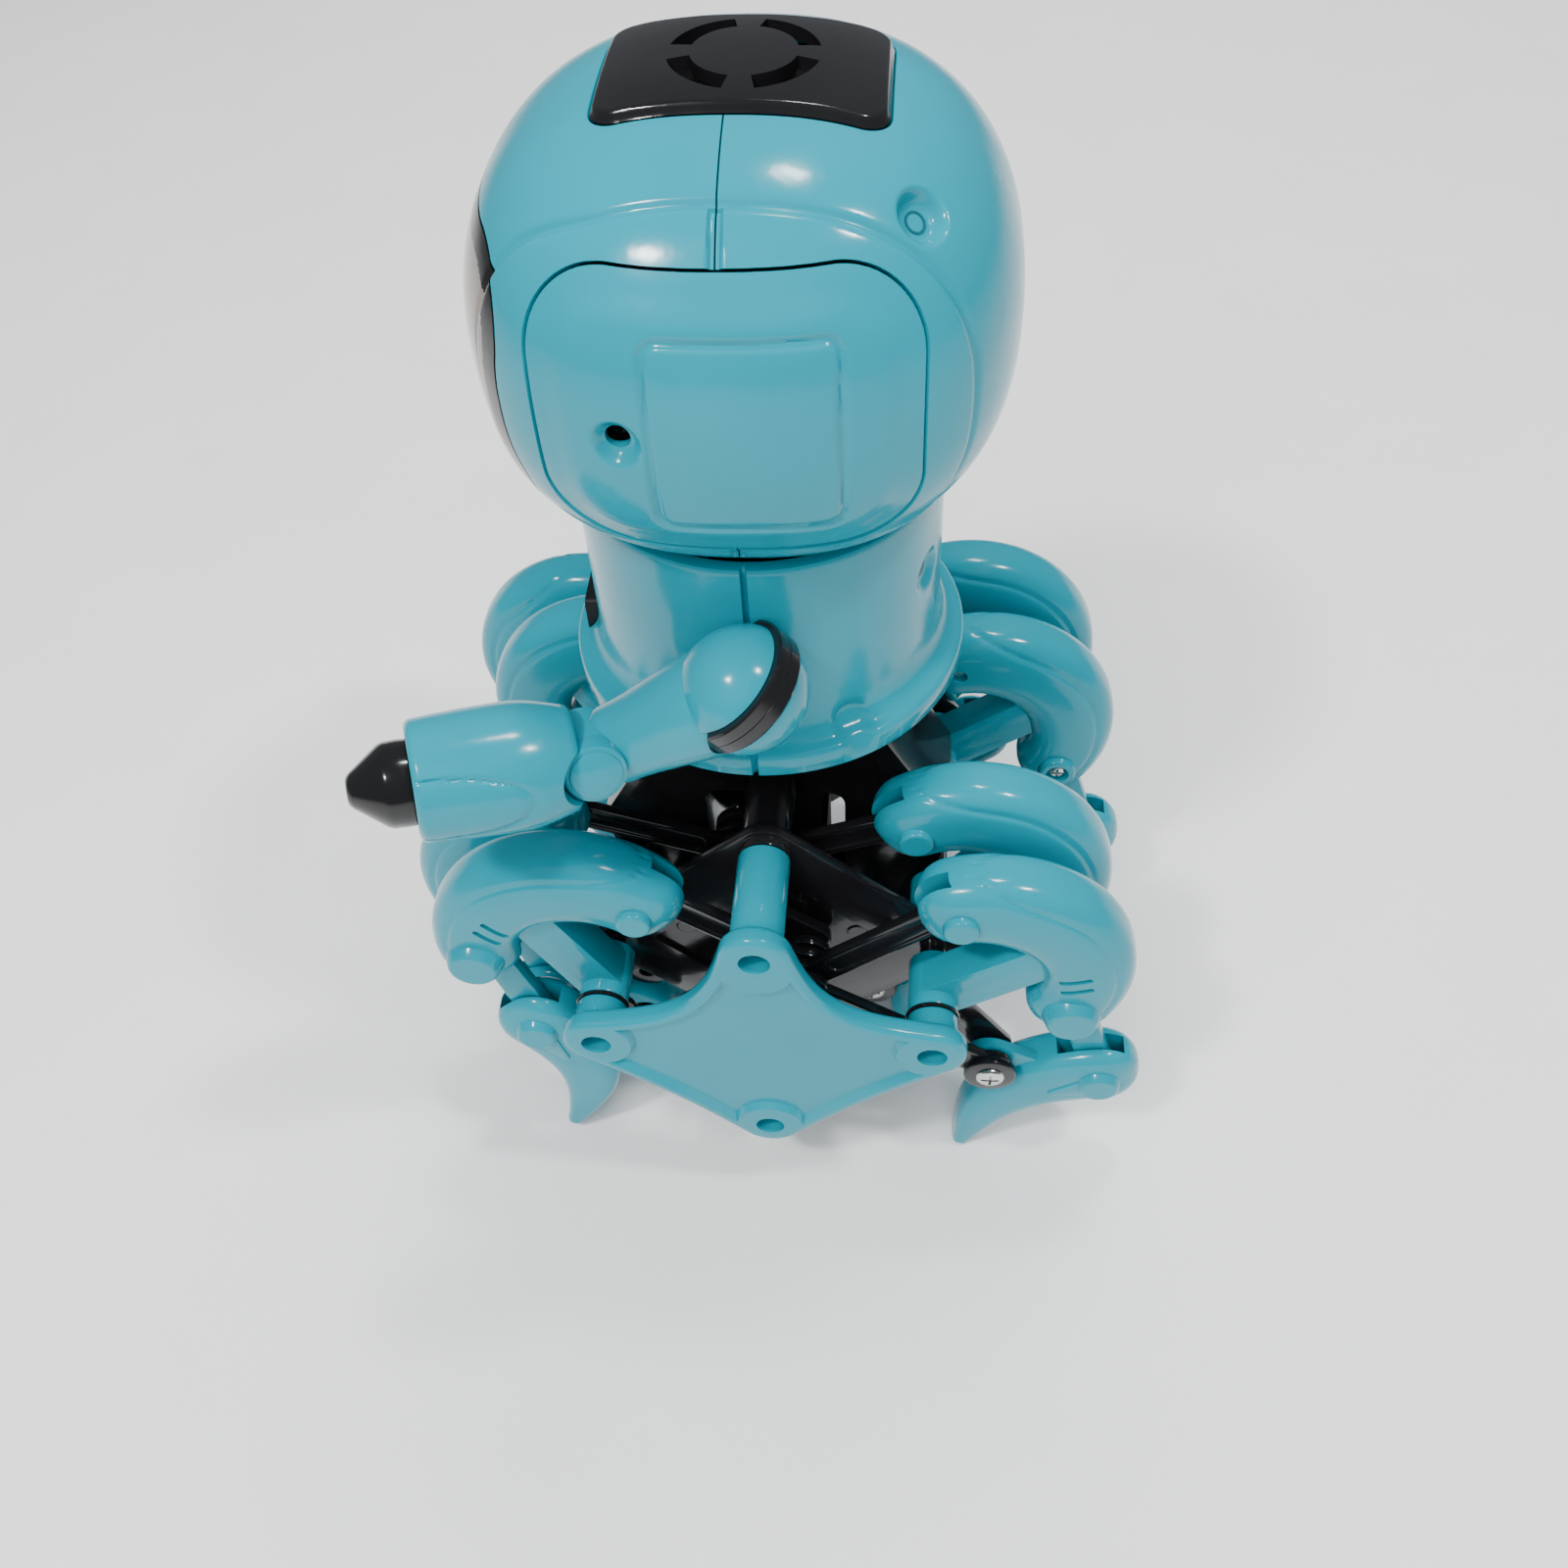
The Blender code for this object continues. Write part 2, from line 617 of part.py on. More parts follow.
def head_panel(name, spec, axis, lo, hi):
    return keep(head_shell(name, 0, 360, 32), panel_tool(spec, -GAP, axis, lo, hi))


def head():
    head_half("head_front", True)
    head_half("head_back", False)
    for side, sign in (("left", 1), ("right", -1)):
        door = head_panel("battery_door_" + side, DOOR, "X", *sorted((sign * 20, sign * 60)))
        cut(door, rod_along("hole", (sign * 30, -13.5, 174), (sign * 50, -13.5, 174), 1.8, n=10))
        finish(door, "teal", (sign * 36, 0, 174.5))
    finish(head_panel("face_visor", VISOR, "Y", -60, -20), "smoke", (0, -38, 172))
    grille = head_panel("speaker_grille", GRILLE, "Z", 180, 230)
    for k in range(4):
        pts = []
        for r, order in ((9.8, 1), (6.8, -1)):
            row = [math.radians(90 * k + 12 + 66 * i / 4) for i in range(5)][::order]
            pts += [(r * math.cos(a), 1.5 + r * math.sin(a)) for a in row]
        cut(grille, prism("arc", [pts], 195, 215, "Z"))
    finish(grille, "black", (0, 1.5, 205))
    spk = rod_along("speaker", (0, 1.5, 194.5), (0, 1.5, 202.0), 10.5, n=24)
    finish(join(spk, rod_along("magnet", (0, 1.5, 189.5), (0, 1.5, 195), 6.0, n=18)), "black",
           (0, 1.5, 198))


def inner_works():
    for side in ("left", "right"):
        s = 1 if side == "left" else -1
        a, b = sorted((s * 17.0, s * 27.5))
        tray = prism("battery_pack_" + side, [rounded_rect((0.3, 174.5), 44, 26, 3, 3)], a, b)
        finish(tray, "cell", (s * 26, 0, 174.5))
    board = box("circuit_board", (-15, -14, 158), (15, -12.4, 184))
    chip = box("chip", (-5, -16, 166), (5, -13.9, 176))
    finish(join(board, chip), "board", (0, -13, 171))
    motor = bevel(box("waist_motor", (-11, -10, 108.0), (11, 10, 122)), 1.0, 1)
    join(motor, rod_along("can", (0, 0, 121), (0, 0, 139), 8.5, n=20))
    finish(motor, "black", (0, 0, 115))


# ---------------------------------------------------------------- arms
def mirror_x(ob):
    """Mirror a node's mesh to the robot's right side."""
    bm = bmesh.new()
    bm.from_mesh(ob.data)
    for v in bm.verts:
        v.co.x = -v.co.x
    bmesh.ops.reverse_faces(bm, faces=bm.faces)
    bm.to_mesh(ob.data)
    bm.free()


def arm(side):
    s = 1 if side == "left" else -1
    d, n = FOREARM_DIR, ELBOW_AXIS
    inward = Vector((-1, 0, 0))
    limb = (SHOULDER + Vector((0, -3, -1)), ELBOW - n * 2.5 + Vector((0, 2.4, 0.9)))

    c = SHOULDER + BAND_AXIS * BAND_SHIFT
    upper = ball("shoulder_" + side, SHOULDER, BALL_R, 20, 12)
    cut(upper, rod_along("face", SHOULDER + inward * 8.0, SHOULDER + inward * 20.0, 14, n=20),
        band_tool(c, BAND_AXIS, BALL_R - 1.1, BALL_R + 3, 3.4 + 2 * GAP))
    join(upper, rod_along("limb", *limb, 7.6, 4.2, 14),
         rod_along("barrel", ELBOW - n * 6.6, ELBOW + n * 2.2, 5.0, n=16))
    cut(upper, rod_along("ear room", ELBOW + n * 2.2, ELBOW + n * 12, 5.2, n=16))
    join(upper, rod_along("pin", ELBOW + n * 1, ELBOW + n * 5.9, 2.2, n=10),
         rod_along("shaft", SHOULDER, SHOULDER + inward * 13.5, 3.0, n=12))
    if s < 0:
        mirror_x(upper)
    finish(upper, "teal", Vector((s * SHOULDER.x, SHOULDER.y, SHOULDER.z)))

    band = band_tool(c, BAND_AXIS, BALL_R - 1.1 + GAP, BALL_R + 0.35, 3.4)
    band.name = "shoulder_band_" + side
    cut(band, box("gap", (0, -12, 100), (SHOULDER.x - 6.5, 12, 150)))
    cut(band, rod_along("gap", *limb, 7.6 + GAP, 4.2 + GAP, 16))
    largest(band)
    if s < 0:
        mirror_x(band)
    finish(band, "black", Vector((s * SHOULDER.x, SHOULDER.y, SHOULDER.z)))

    start, stop = ELBOW + d * 4.0, ELBOW + d * FOREARM_L
    fore = rod_along("forearm_" + side, start, start + d * 6, 8.6, FOREARM_R, 18)
    join(fore, rod_along("front", start + d * 5.9, stop, FOREARM_R, FOREARM_R - 0.8, 18))
    cut(fore, rod_along("socket", ELBOW - n * 6.9, ELBOW + n * 2.5, 5.5, n=16),
        rod_along("side", ELBOW - n * 14.0, ELBOW - n * 6.8, 9.5, n=16))
    ear = ELBOW + n * 4.5
    join(fore, rod_along("ear", ELBOW + n * 2.5, ELBOW + n * 6.4, 4.7, n=16))
    join(fore, rod_along("bridge", ear + d * 1, ear + d * 9, 1.9, n=10))
    cut(fore, rod_along("bore", ELBOW, ELBOW + n * 6.2, 2.5, n=10))
    largest(fore)
    if s < 0:
        mirror_x(fore)
    finish(fore, "teal", Vector((s * ELBOW.x, ELBOW.y, ELBOW.z)))

    nose = rod_along("forearm_nozzle_" + side, stop + d * GAP, stop + d * 4.2, 6.6, 6.6, 20)
    join(nose, rod_along("cone", stop + d * 4.0, stop + d * 9.5, 6.4, 2.4, 20))
    if s < 0:
        mirror_x(nose)
    tip = stop + d * 4
    finish(nose, "black", Vector((s * tip.x, tip.y, tip.z)))


def band_tool(c, axis, r0, r1, width):
    """Ring around an arbitrary axis."""
    name = "ring"
    ring = lathe(name, [(r0, -width / 2), (r1, -width / 2), (r1, width / 2), (r0, width / 2)],
                 n=24)
    turn = axis.to_track_quat("Z", "Y").to_matrix().to_4x4()
    ring.data.transform(Matrix.Translation(c * MM) @ turn)
    return ring


def largest(ob):
    """Drop loose crumbs, keep the biggest shell."""
    bm = bmesh.new()
    bm.from_mesh(ob.data)
    seen, groups = set(), []
    for v in bm.verts:
        if v in seen:
            continue
        stack, group = [v], []
        seen.add(v)
        while stack:
            w = stack.pop()
            group.append(w)
            for e in w.link_edges:
                o = e.other_vert(w)
                if o not in seen:
                    seen.add(o)
                    stack.append(o)
        groups.append(group)
    groups.sort(key=len)
    for group in groups[:-1]:
        bmesh.ops.delete(bm, geom=group, context="VERTS")
    bm.to_mesh(ob.data)
    bm.free()


def main():
    clear()
    chassis()
    crankshaft()
    walk_motor()
    for side in ("left", "right"):
        side_cover(side)
        arm(side)
    legs()
    torso_half("torso_front", True)
    torso_half("torso_back", False)
    head()
    inner_works()


main()
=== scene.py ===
"""Looks of the eight-legged walking toy robot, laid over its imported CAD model.

Lengths are in millimetres in this script and turned into metres when vertices are made.
Legs are drawn in (y, z) with the fixed frame's centre at y = 0, then moved by SHIFT_Y.
"""
import math
import bpy
import bmesh
from mathutils import Vector, Matrix


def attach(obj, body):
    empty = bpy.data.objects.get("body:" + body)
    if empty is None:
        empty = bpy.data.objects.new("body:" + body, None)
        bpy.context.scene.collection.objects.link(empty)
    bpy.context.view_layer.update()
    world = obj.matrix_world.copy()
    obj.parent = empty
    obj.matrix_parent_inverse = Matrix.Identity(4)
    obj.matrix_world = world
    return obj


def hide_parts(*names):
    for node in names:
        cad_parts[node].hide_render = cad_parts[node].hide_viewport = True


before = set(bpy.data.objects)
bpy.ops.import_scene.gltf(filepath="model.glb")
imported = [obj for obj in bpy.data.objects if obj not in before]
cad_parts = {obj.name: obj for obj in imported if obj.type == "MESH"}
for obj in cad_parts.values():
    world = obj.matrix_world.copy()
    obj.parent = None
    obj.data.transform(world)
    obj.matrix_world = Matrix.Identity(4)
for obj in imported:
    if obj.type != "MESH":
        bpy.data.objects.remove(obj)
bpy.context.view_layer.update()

MM = 0.001
# Walking frame and legs. CRANK_DEG is where the left outer crank pin stands at rest.
SHIFT_Y = -1.56
CRANK_Z, CRANK_R, CRANK_DEG = 63.09, 8.33, -35.48
PIVOT = Vector((30.14, 54.02))
L_B, L_J, L_E, L_D, L_K, L_C = 27.47, 35.64, 33.66, 24.76, 42.92, 23.78
L_F, L_G, L_H, L_I = 26.48, 21.22, 38.99, 33.94
LEG_X = {"inner": 20.2, "outer": 38.7}
THIGH_T, THIGH_W, FOOT_T, TOE_R = 13.0, 8.3, 10.0, 1.7
ROD_T, ROD_STEP = 2.0, 2.6
COVER_X, COVER_T = 53.6, 4.0
TOP_BOSS, LOW_BOSS = 81.6, 26.4
# Body and head. HEAD_N is the power of the helmet's rounded box, HEAD_CUT the height of its rim.
FLOOR_Z, TORSO_R, TORSO_BORE, TORSO_TOP, FLANGE_R = 105.5, 29.0, 26.8, 145.5, 33.3
HEAD_C, HEAD_R, HEAD_N, HEAD_CUT = Vector((0, 0, 173.0)), Vector((38.8, 39.2, 33.0)), 2.4, 142.5
# Left arm; the right one is mirrored. BAND_SHIFT is how far the band sits off the ball's middle.
SHOULDER, BALL_R = Vector((37.6, 0.0, 130.2)), 9.8
ELBOW = Vector((41.8, -24.0, 119.6))
FORE_DIR = Vector((0.338, -0.93, 0.12)).normalized()
ELBOW_AXIS = Vector((0.89, 0.357, 0.26)).normalized()
FORE_L, FORE_R = 26.5, 9.9
BAND_AXIS, BAND_SHIFT = Vector((0.067, -0.636, 0.769)).normalized(), 1.0
INWARD = Vector((-1, 0, 0))
# Rounded rectangles on the helmet: centre, width, height and corner radius, seen along one axis.
DOOR = dict(c=(0.3, 174.5), w=50.5, h=41.0, r=12.0)
GRILLE = dict(c=(0.0, 1.5), w=26.0, h=38.0, r=4.0)
VISOR = dict(c=(0.0, 172.0), w=56.0, h=40.0, r=12.0)
BADGE = dict(c=(2.9, 174.0), w=24.5, h=27.5, r=2.2)
# Each outline counts only on its own side of the helmet, past these places.
DOOR_MIN_X, GRILLE_MIN_Z, VISOR_MAX_Y = 20, 185, -15
VISOR_RIM = 2.6
HATCH_SCREW = (-13.5, 174.0)
HEAD_SCREW = Vector((21.3, 24.7, 196.2))
SEAM_GAP = 0.22
DOME_POWER = 2.2
PANEL_GAP, SNAP_REACH = 0.32, 0.75
SIDES = (("left", 1), ("right", -1))


# ---------------------------------------------------------------- materials
def shader(name, colour, rough, coat=0.0, vary=0.06, grain=900.0, bump=0.012, rough_vary=0.08,
           metallic=0.0, wear=0.0):
    """Moulded plastic or metal: colour mottle, gloss mottle and a fine moulded skin."""
    mat = bpy.data.materials.new(name)
    mat.use_nodes = True
    nt = mat.node_tree
    bsdf = nt.nodes["Principled BSDF"]
    bsdf.inputs["Metallic"].default_value = metallic
    bsdf.inputs["Coat Weight"].default_value = coat
    bsdf.inputs["Coat Roughness"].default_value = 0.06
    bsdf.inputs["Specular IOR Level"].default_value = 0.30
    mat.diffuse_color = (*colour, 1)
    where = nt.nodes.new("ShaderNodeTexCoord")

    def noise(scale, detail=3.0):
        node = nt.nodes.new("ShaderNodeTexNoise")
        node.inputs["Scale"].default_value = scale
        node.inputs["Detail"].default_value = detail
        nt.links.new(where.outputs["Object"], node.inputs["Vector"])
        return node

    cloud = noise(28.0)
    ramp = nt.nodes.new("ShaderNodeValToRGB")
    ramp.color_ramp.elements[0].position, ramp.color_ramp.elements[1].position = 0.3, 0.7
    ramp.color_ramp.elements[0].color = (*[c * (1 - vary) for c in colour], 1)
    ramp.color_ramp.elements[1].color = (*[min(c * (1 + vary), 1) for c in colour], 1)
    nt.links.new(cloud.outputs["Fac"], ramp.inputs["Fac"])
    nt.links.new(ramp.outputs["Color"], bsdf.inputs["Base Color"])
    smear = noise(120.0)
    spread = nt.nodes.new("ShaderNodeMapRange")
    spread.inputs["To Min"].default_value = max(rough - rough_vary, 0.02)
    spread.inputs["To Max"].default_value = rough + rough_vary
    nt.links.new(smear.outputs["Fac"], spread.inputs["Value"])
    nt.links.new(spread.outputs["Result"], bsdf.inputs["Roughness"])
    skin = noise(grain, 2.0)
    relief = nt.nodes.new("ShaderNodeBump")
    relief.inputs["Strength"].default_value = bump
    relief.inputs["Distance"].default_value = 0.001
    nt.links.new(skin.outputs["Fac"], relief.inputs["Height"])
    nt.links.new(relief.outputs["Normal"], bsdf.inputs["Normal"])
    return mat


TEAL = shader("turquoise_abs", (0.0, 0.25, 0.33), 0.17, coat=0.06, grain=260.0, bump=0.05)
# Darker, duller copy of the turquoise, used as painted shade at the floors of screw wells and holes.
TEAL_PAINTED_SHADE = shader("turquoise_recess_painted_shade", (0.0, 0.09, 0.12), 0.45, grain=700.0, bump=0.06)
BLACK = shader("black_abs", (0.008, 0.008, 0.009), 0.16, coat=0.3, vary=0.2, grain=300.0,
               bump=0.05)
BLACK_DULL = shader("black_recess", (0.006, 0.006, 0.007), 0.5, vary=0.2)
SMOKE = shader("smoke_visor", (0.20, 0.18, 0.165), 0.10, coat=0.5, vary=0.04)
STEEL = shader("screw_steel", (0.62, 0.61, 0.60), 0.25, metallic=1.0, grain=1600.0, bump=0.1)
BOARD = shader("circuit_board", (0.02, 0.18, 0.07), 0.4)
CELL = shader("battery_cells", (0.2, 0.2, 0.22), 0.4)


# ---------------------------------------------------------------- pieces
def place(name, body, mat, bm, smooth=True, angle=35.0, mirrored=False, replaces=()):
    """Turn a bmesh in mm into a piece that rides on a CAD body.
    """
    for v in bm.verts:
        if mirrored:
            v.co.x = -v.co.x
        v.co.y += SHIFT_Y
        v.co *= MM
    bmesh.ops.remove_doubles(bm, verts=bm.verts, dist=1e-7)
    bmesh.ops.recalc_face_normals(bm, faces=bm.faces)
    mesh = bpy.data.meshes.new(name)
    bm.to_mesh(mesh)
    bm.free()
    mesh.polygons.foreach_set("use_smooth", [smooth] * len(mesh.polygons))
    mesh.set_sharp_from_angle(angle=math.radians(angle))
    mesh.materials.append(mat)
    ob = bpy.data.objects.new(name, mesh)
    bpy.context.scene.collection.objects.link(ob)
    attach(ob, body)
    if replaces:
        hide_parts(*replaces)
    return ob


def temp(bm):
    """Short-lived object in mm, for Boolean tools."""
    bmesh.ops.recalc_face_normals(bm, faces=bm.faces)
    mesh = bpy.data.meshes.new("tool")
    bm.to_mesh(mesh)
    bm.free()
    ob = bpy.data.objects.new("tool", mesh)
    bpy.context.scene.collection.objects.link(ob)
    return ob


def applied(ob):
    """Mesh of an object with its modifiers applied."""
    deps = bpy.context.evaluated_depsgraph_get()
    return bpy.data.meshes.new_from_object(ob.evaluated_get(deps))


def carve(bm, *tools):
    """Cut tools out of a bmesh and hand back the result as a bmesh."""
    ob = temp(bm)
    for tool in tools:
        cutter = temp(tool)
        mod = ob.modifiers.new("b", "BOOLEAN")
        mod.operation, mod.solver, mod.object = "DIFFERENCE", "EXACT", cutter
        mesh = applied(ob)
        ob.modifiers.clear()
        ob.data = mesh
        bpy.data.objects.remove(cutter, do_unlink=True)
    out = bmesh.new()
    out.from_mesh(ob.data)
    bpy.data.objects.remove(ob, do_unlink=True)
    return out


def soften(bm, width, segments=3, angle=40.0):
    """Bevel the sharp edges of a bmesh."""
    ob = temp(bm)
    mod = ob.modifiers.new("v", "BEVEL")
    mod.width, mod.segments, mod.limit_method = width, segments, "ANGLE"
    mod.angle_limit = math.radians(angle)
    out = bmesh.new()
    out.from_mesh(applied(ob))
    bpy.data.objects.remove(ob, do_unlink=True)
    return out


def merge(*parts):
    """Put several bmeshes into one, without joining their shapes."""
    out = bmesh.new()
    for part in parts:
        mesh = bpy.data.meshes.new("m")
        part.to_mesh(mesh)
        part.free()
        out.from_mesh(mesh)
        bpy.data.meshes.remove(mesh)
    return out


def circle(c, r, n=32):
    """Points of a circle in two dimensions."""
    return [(c[0] + r * math.cos(2 * math.pi * i / n), c[1] + r * math.sin(2 * math.pi * i / n))
            for i in range(n)]


def hull(discs, n=32):
    """Outline of a band stretched round discs, given as (centre, radius)."""
    pts = sorted({(round(p[0], 5), round(p[1], 5)) for c, r in discs for p in circle(c, r, n)})

    def half(seq):
        out = []
        for p in seq:
            while len(out) > 1 and ((out[-1][0] - out[-2][0]) * (p[1] - out[-2][1]) -
                                    (out[-1][1] - out[-2][1]) * (p[0] - out[-2][0])) <= 1e-6:
                out.pop()
            out.append(p)
        return out[:-1]
    return half(pts) + half(reversed(pts))


def flip(loop, s):
    """Mirror an outline front to back where s is -1."""
    return [(s * p[0], p[1]) for p in loop]


def rounded_rect(c, w, h, r, n=8):
    """Outline of a rectangle with round corners."""
    out = []
    for k, (sx, sy) in enumerate([(1, 1), (-1, 1), (-1, -1), (1, -1)]):
        for i in range(n):
            a = math.pi / 2 * (k + i / (n - 1))
            out.append((c[0] + sx * (w / 2 - r) + r * math.cos(a),
                        c[1] + sy * (h / 2 - r) + r * math.sin(a)))
    return out


def prism(loops, lo, hi, axis="X"):
    """Straight solid between lo and hi along an axis. Outlines after the first are holes in it."""
    put = {"X": lambda a, b, h: (h, a, b), "Y": lambda a, b, h: (a, h, b),
           "Z": lambda a, b, h: (a, b, h)}[axis]
    lo, hi = min(lo, hi), max(lo, hi)
    bm = bmesh.new()
    edges = []
    for loop in loops:
        vs = [bm.verts.new(put(a, b, lo)) for a, b in loop]
        edges += [bm.edges.new((vs[i], vs[(i + 1) % len(vs)])) for i in range(len(vs))]
    if len(loops) == 1:
        bm.faces.new(vs)
    else:
        bmesh.ops.triangle_fill(bm, use_beauty=True, use_dissolve=False, edges=edges)
    res = bmesh.ops.extrude_face_region(bm, geom=bm.faces[:])
    shift = Vector(put(0, 0, hi - lo))
    for v in res["geom"]:
        if isinstance(v, bmesh.types.BMVert):
            v.co += shift
    return bm


def turned(profile, a, b, n=48):
    """Solid of revolution. profile is [(along, radius)] measured from point a towards b."""
    a, b = Vector(a), Vector(b)
    basis = (b - a).to_track_quat("Z", "Y").to_matrix()
    bm = bmesh.new()
    rings = []
    for h, r in profile:
        if r <= 1e-6:
            rings.append([bm.verts.new(a + basis @ Vector((0, 0, h)))])
        else:
            rings.append([bm.verts.new(a + basis @ Vector((r * math.cos(2 * math.pi * i / n),
                                                           r * math.sin(2 * math.pi * i / n), h)))
                          for i in range(n)])
    for p, q in zip(rings, rings[1:]):
        for i in range(n):
            j = (i + 1) % n
            quad = [p[i % len(p)], p[j % len(p)], q[j % len(q)], q[i % len(q)]]
            quad = [v for k, v in enumerate(quad) if v not in quad[:k]]
            if len(quad) > 2:
                bm.faces.new(quad)
    for ring in (rings[0], rings[-1]):
        if len(ring) > 2:
            bm.faces.new(ring)
    return bm


def cap(c, x0, x1, r0, r1, n=40):
    """Round boss along X at (y, z) = c, from radius r0 at x0 to r1 at x1, with a rounded rim."""
    h = abs(x1 - x0)
    e = min(0.5, h / 2)
    prof = [(0, r0), (h - e, r1 + (r0 - r1) * e / h)]
    prof += [(h - e + e * math.sin(a), r1 - e + e * math.cos(a)) for a in (0.4, 0.8, 1.2, 1.5)]
    prof += [(h, r1 - e - 0.1), (h, (r1 - e) * 0.55), (h, 0)]
    return turned(prof, (x0, c[0], c[1]), (x1, c[0], c[1]), n)


def screw(c, x0, out, r=2.1, n=32):
    """Pan-head screw with a cross recess, facing along X."""
    d = 1 if out > 0 else -1
    prof = [(0, r), (0.5, r)] + [(0.5 + 0.7 * math.sin(a), r * math.cos(a * 0.75))
                                 for a in (0.4, 0.8, 1.2)] + [(1.25, 0)]
    head = turned(prof, (x0, c[0], c[1]), (x0 + d, c[0], c[1]), n)
    slots = [prism([[(c[0] - a, c[1] - b), (c[0] + a, c[1] - b), (c[0] + a, c[1] + b),
                     (c[0] - a, c[1] + b)]], x0 + d * 0.45, x0 + d * 2) for a, b in
             ((r * 0.62, 0.27), (0.27, r * 0.62))]
    return carve(head, *slots)


# ---------------------------------------------------------------- linkage
def meet(a, ra, b, rb, side):
    """Where a circle round a meets one round b, on the given side of the line from a to b."""
    d = b - a
    x = (d.length_squared + ra * ra - rb * rb) / (2 * d.length)
    h = math.sqrt(max(ra * ra - x * x, 0))
    u = d.normalized()
    return a + u * x + Vector((-u.y, u.x)) * (side * h)


def crank_pin(side, row):
    """(y, z) of a crank pin. Inner and outer pins, and left and right, are half a turn apart."""
    a = math.radians(CRANK_DEG + (180 if (row == "inner") != (side == "right") else 0))
    return Vector((CRANK_R * math.cos(a), CRANK_Z + CRANK_R * math.sin(a)))


def solve(side, row, end):
    """Front-to-back sign of a leg and the joints of its linkage, drawn as a rear leg.

    P is the fixed pivot, U and V the thigh's pins, Lw the lower rod's pin, K the knee, F the toe.
    """
    s = 1 if end == "rear" else -1
    pin = crank_pin(side, row)
    pin = Vector((s * pin.x, pin.y))
    u = meet(pin, L_J, PIVOT, L_B, 1)
    v = meet(u, L_E, PIVOT, L_D, 1)
    low = meet(pin, L_K, PIVOT, L_C, -1)
    knee = meet(v, L_F, low, L_G, 1)
    toe = meet(knee, L_H, low, L_I, 1)
    return s, {"pin": pin, "P": PIVOT.copy(), "U": u, "V": v, "Lw": low, "K": knee, "F": toe}


# ---------------------------------------------------------------- swept shells
def seat(side, row, end):
    """Outward sign of a leg, the X of its middle plane and its name."""
    o = 1 if side == "left" else -1
    return o, o * LEG_X[row], side + "_" + row + "_" + end


def smooth(t):
    """Soft step from 0 to 1."""
    t = max(0.0, min(1.0, t))
    return t * t * (3 - 2 * t)


def dome(t):
    """How far out a section of a domed end lies and how wide it is, both from 0 to 1."""
    q = math.sin(math.pi / 2 * t)
    return q, max(1 - q ** DOME_POWER, 0.0) ** (1 / DOME_POWER)


def sweep(line, widths, thick, power, s, xc, n_sec=56, groove=None, cap_n=9):
    """Fat rounded shell along a (y, z) line.

    Each cross-section is a rounded box: in-plane half width by half thickness in X. The ends
    are domed. groove(t, a) gives how deep a panel line is at place t and section angle a.
    """
    pts = [Vector(p) for p in line]
    n = len(pts)
    dirs = [(pts[min(i + 1, n - 1)] - pts[max(i - 1, 0)]).normalized() for i in range(n)]
    rows = []
    for k in range(cap_n, 0, -1):
        q, f = dome(k / cap_n)
        rows.append((pts[0] - dirs[0] * widths[0] * q, dirs[0], widths[0] * f, thick[0] * f, 0.0))
    for i in range(n):
        rows.append((pts[i], dirs[i], widths[i], thick[i], i / (n - 1)))
    for k in range(1, cap_n + 1):
        q, f = dome(k / cap_n)
        rows.append((pts[-1] + dirs[-1] * widths[-1] * q, dirs[-1], widths[-1] * f, thick[-1] * f,
                     1.0))
    bm = bmesh.new()
    rings = []
    for p, d, w, h, t in rows:
        left = Vector((-d.y, d.x))
        ring = []
        for j in range(n_sec):
            a = 2 * math.pi * j / n_sec
            ca, sa = math.cos(a), math.sin(a)
            k = (abs(ca) ** power + abs(sa) ** power) ** (-1 / power)
            depth = groove(t, a) if groove else 0.0
            rad = k - depth / max(w, 2.0)
            yz = p + left * (w * rad * ca)
            ring.append(bm.verts.new((xc + h * rad * sa, s * yz.x, yz.y)))
        rings.append(ring)
    for p, q in zip(rings, rings[1:]):
        for j in range(n_sec):
            m = (j + 1) % n_sec
            bm.faces.new((p[j], p[m], q[m], q[j]))
    for ring in (rings[0], rings[-1]):
        bm.faces.new(ring)
    return bm


def thigh_arc(pts, n=60):
    """Middle line of the thigh: an arc from U to V that bulges up and outwards."""
    u, v = pts["U"], pts["V"]
    d = v - u
    c = (u + v) / 2 + Vector((d.y, -d.x)).normalized() * 7.5
    a0, a1 = math.atan2(u.y - c.y, u.x - c.x), math.atan2(v.y - c.y, v.x - c.x)
    if a1 > a0:
        a1 -= 2 * math.pi
    r = (u - c).length
    return [(c.x + r * math.cos(a0 + (a1 - a0) * i / (n - 1)),
             c.y + r * math.sin(a0 + (a1 - a0) * i / (n - 1))) for i in range(n)]


def back_strip(t, a):
    """Fine groove round a strip on the thigh's outer curve, closed by an oval near its inner end."""
    start, oval_end, half_width = 0.06, 0.30, 0.98
    if t < start:
        return 0.0
    across = (a + math.pi) % (2 * math.pi) - math.pi
    oval = max(0.0, (oval_end - t) / (oval_end - start))
    edge = abs(abs(across) - half_width * math.sqrt(max(0.0, 1 - oval ** 2)))
    return 0.42 * math.exp(-(edge / 0.06) ** 2)


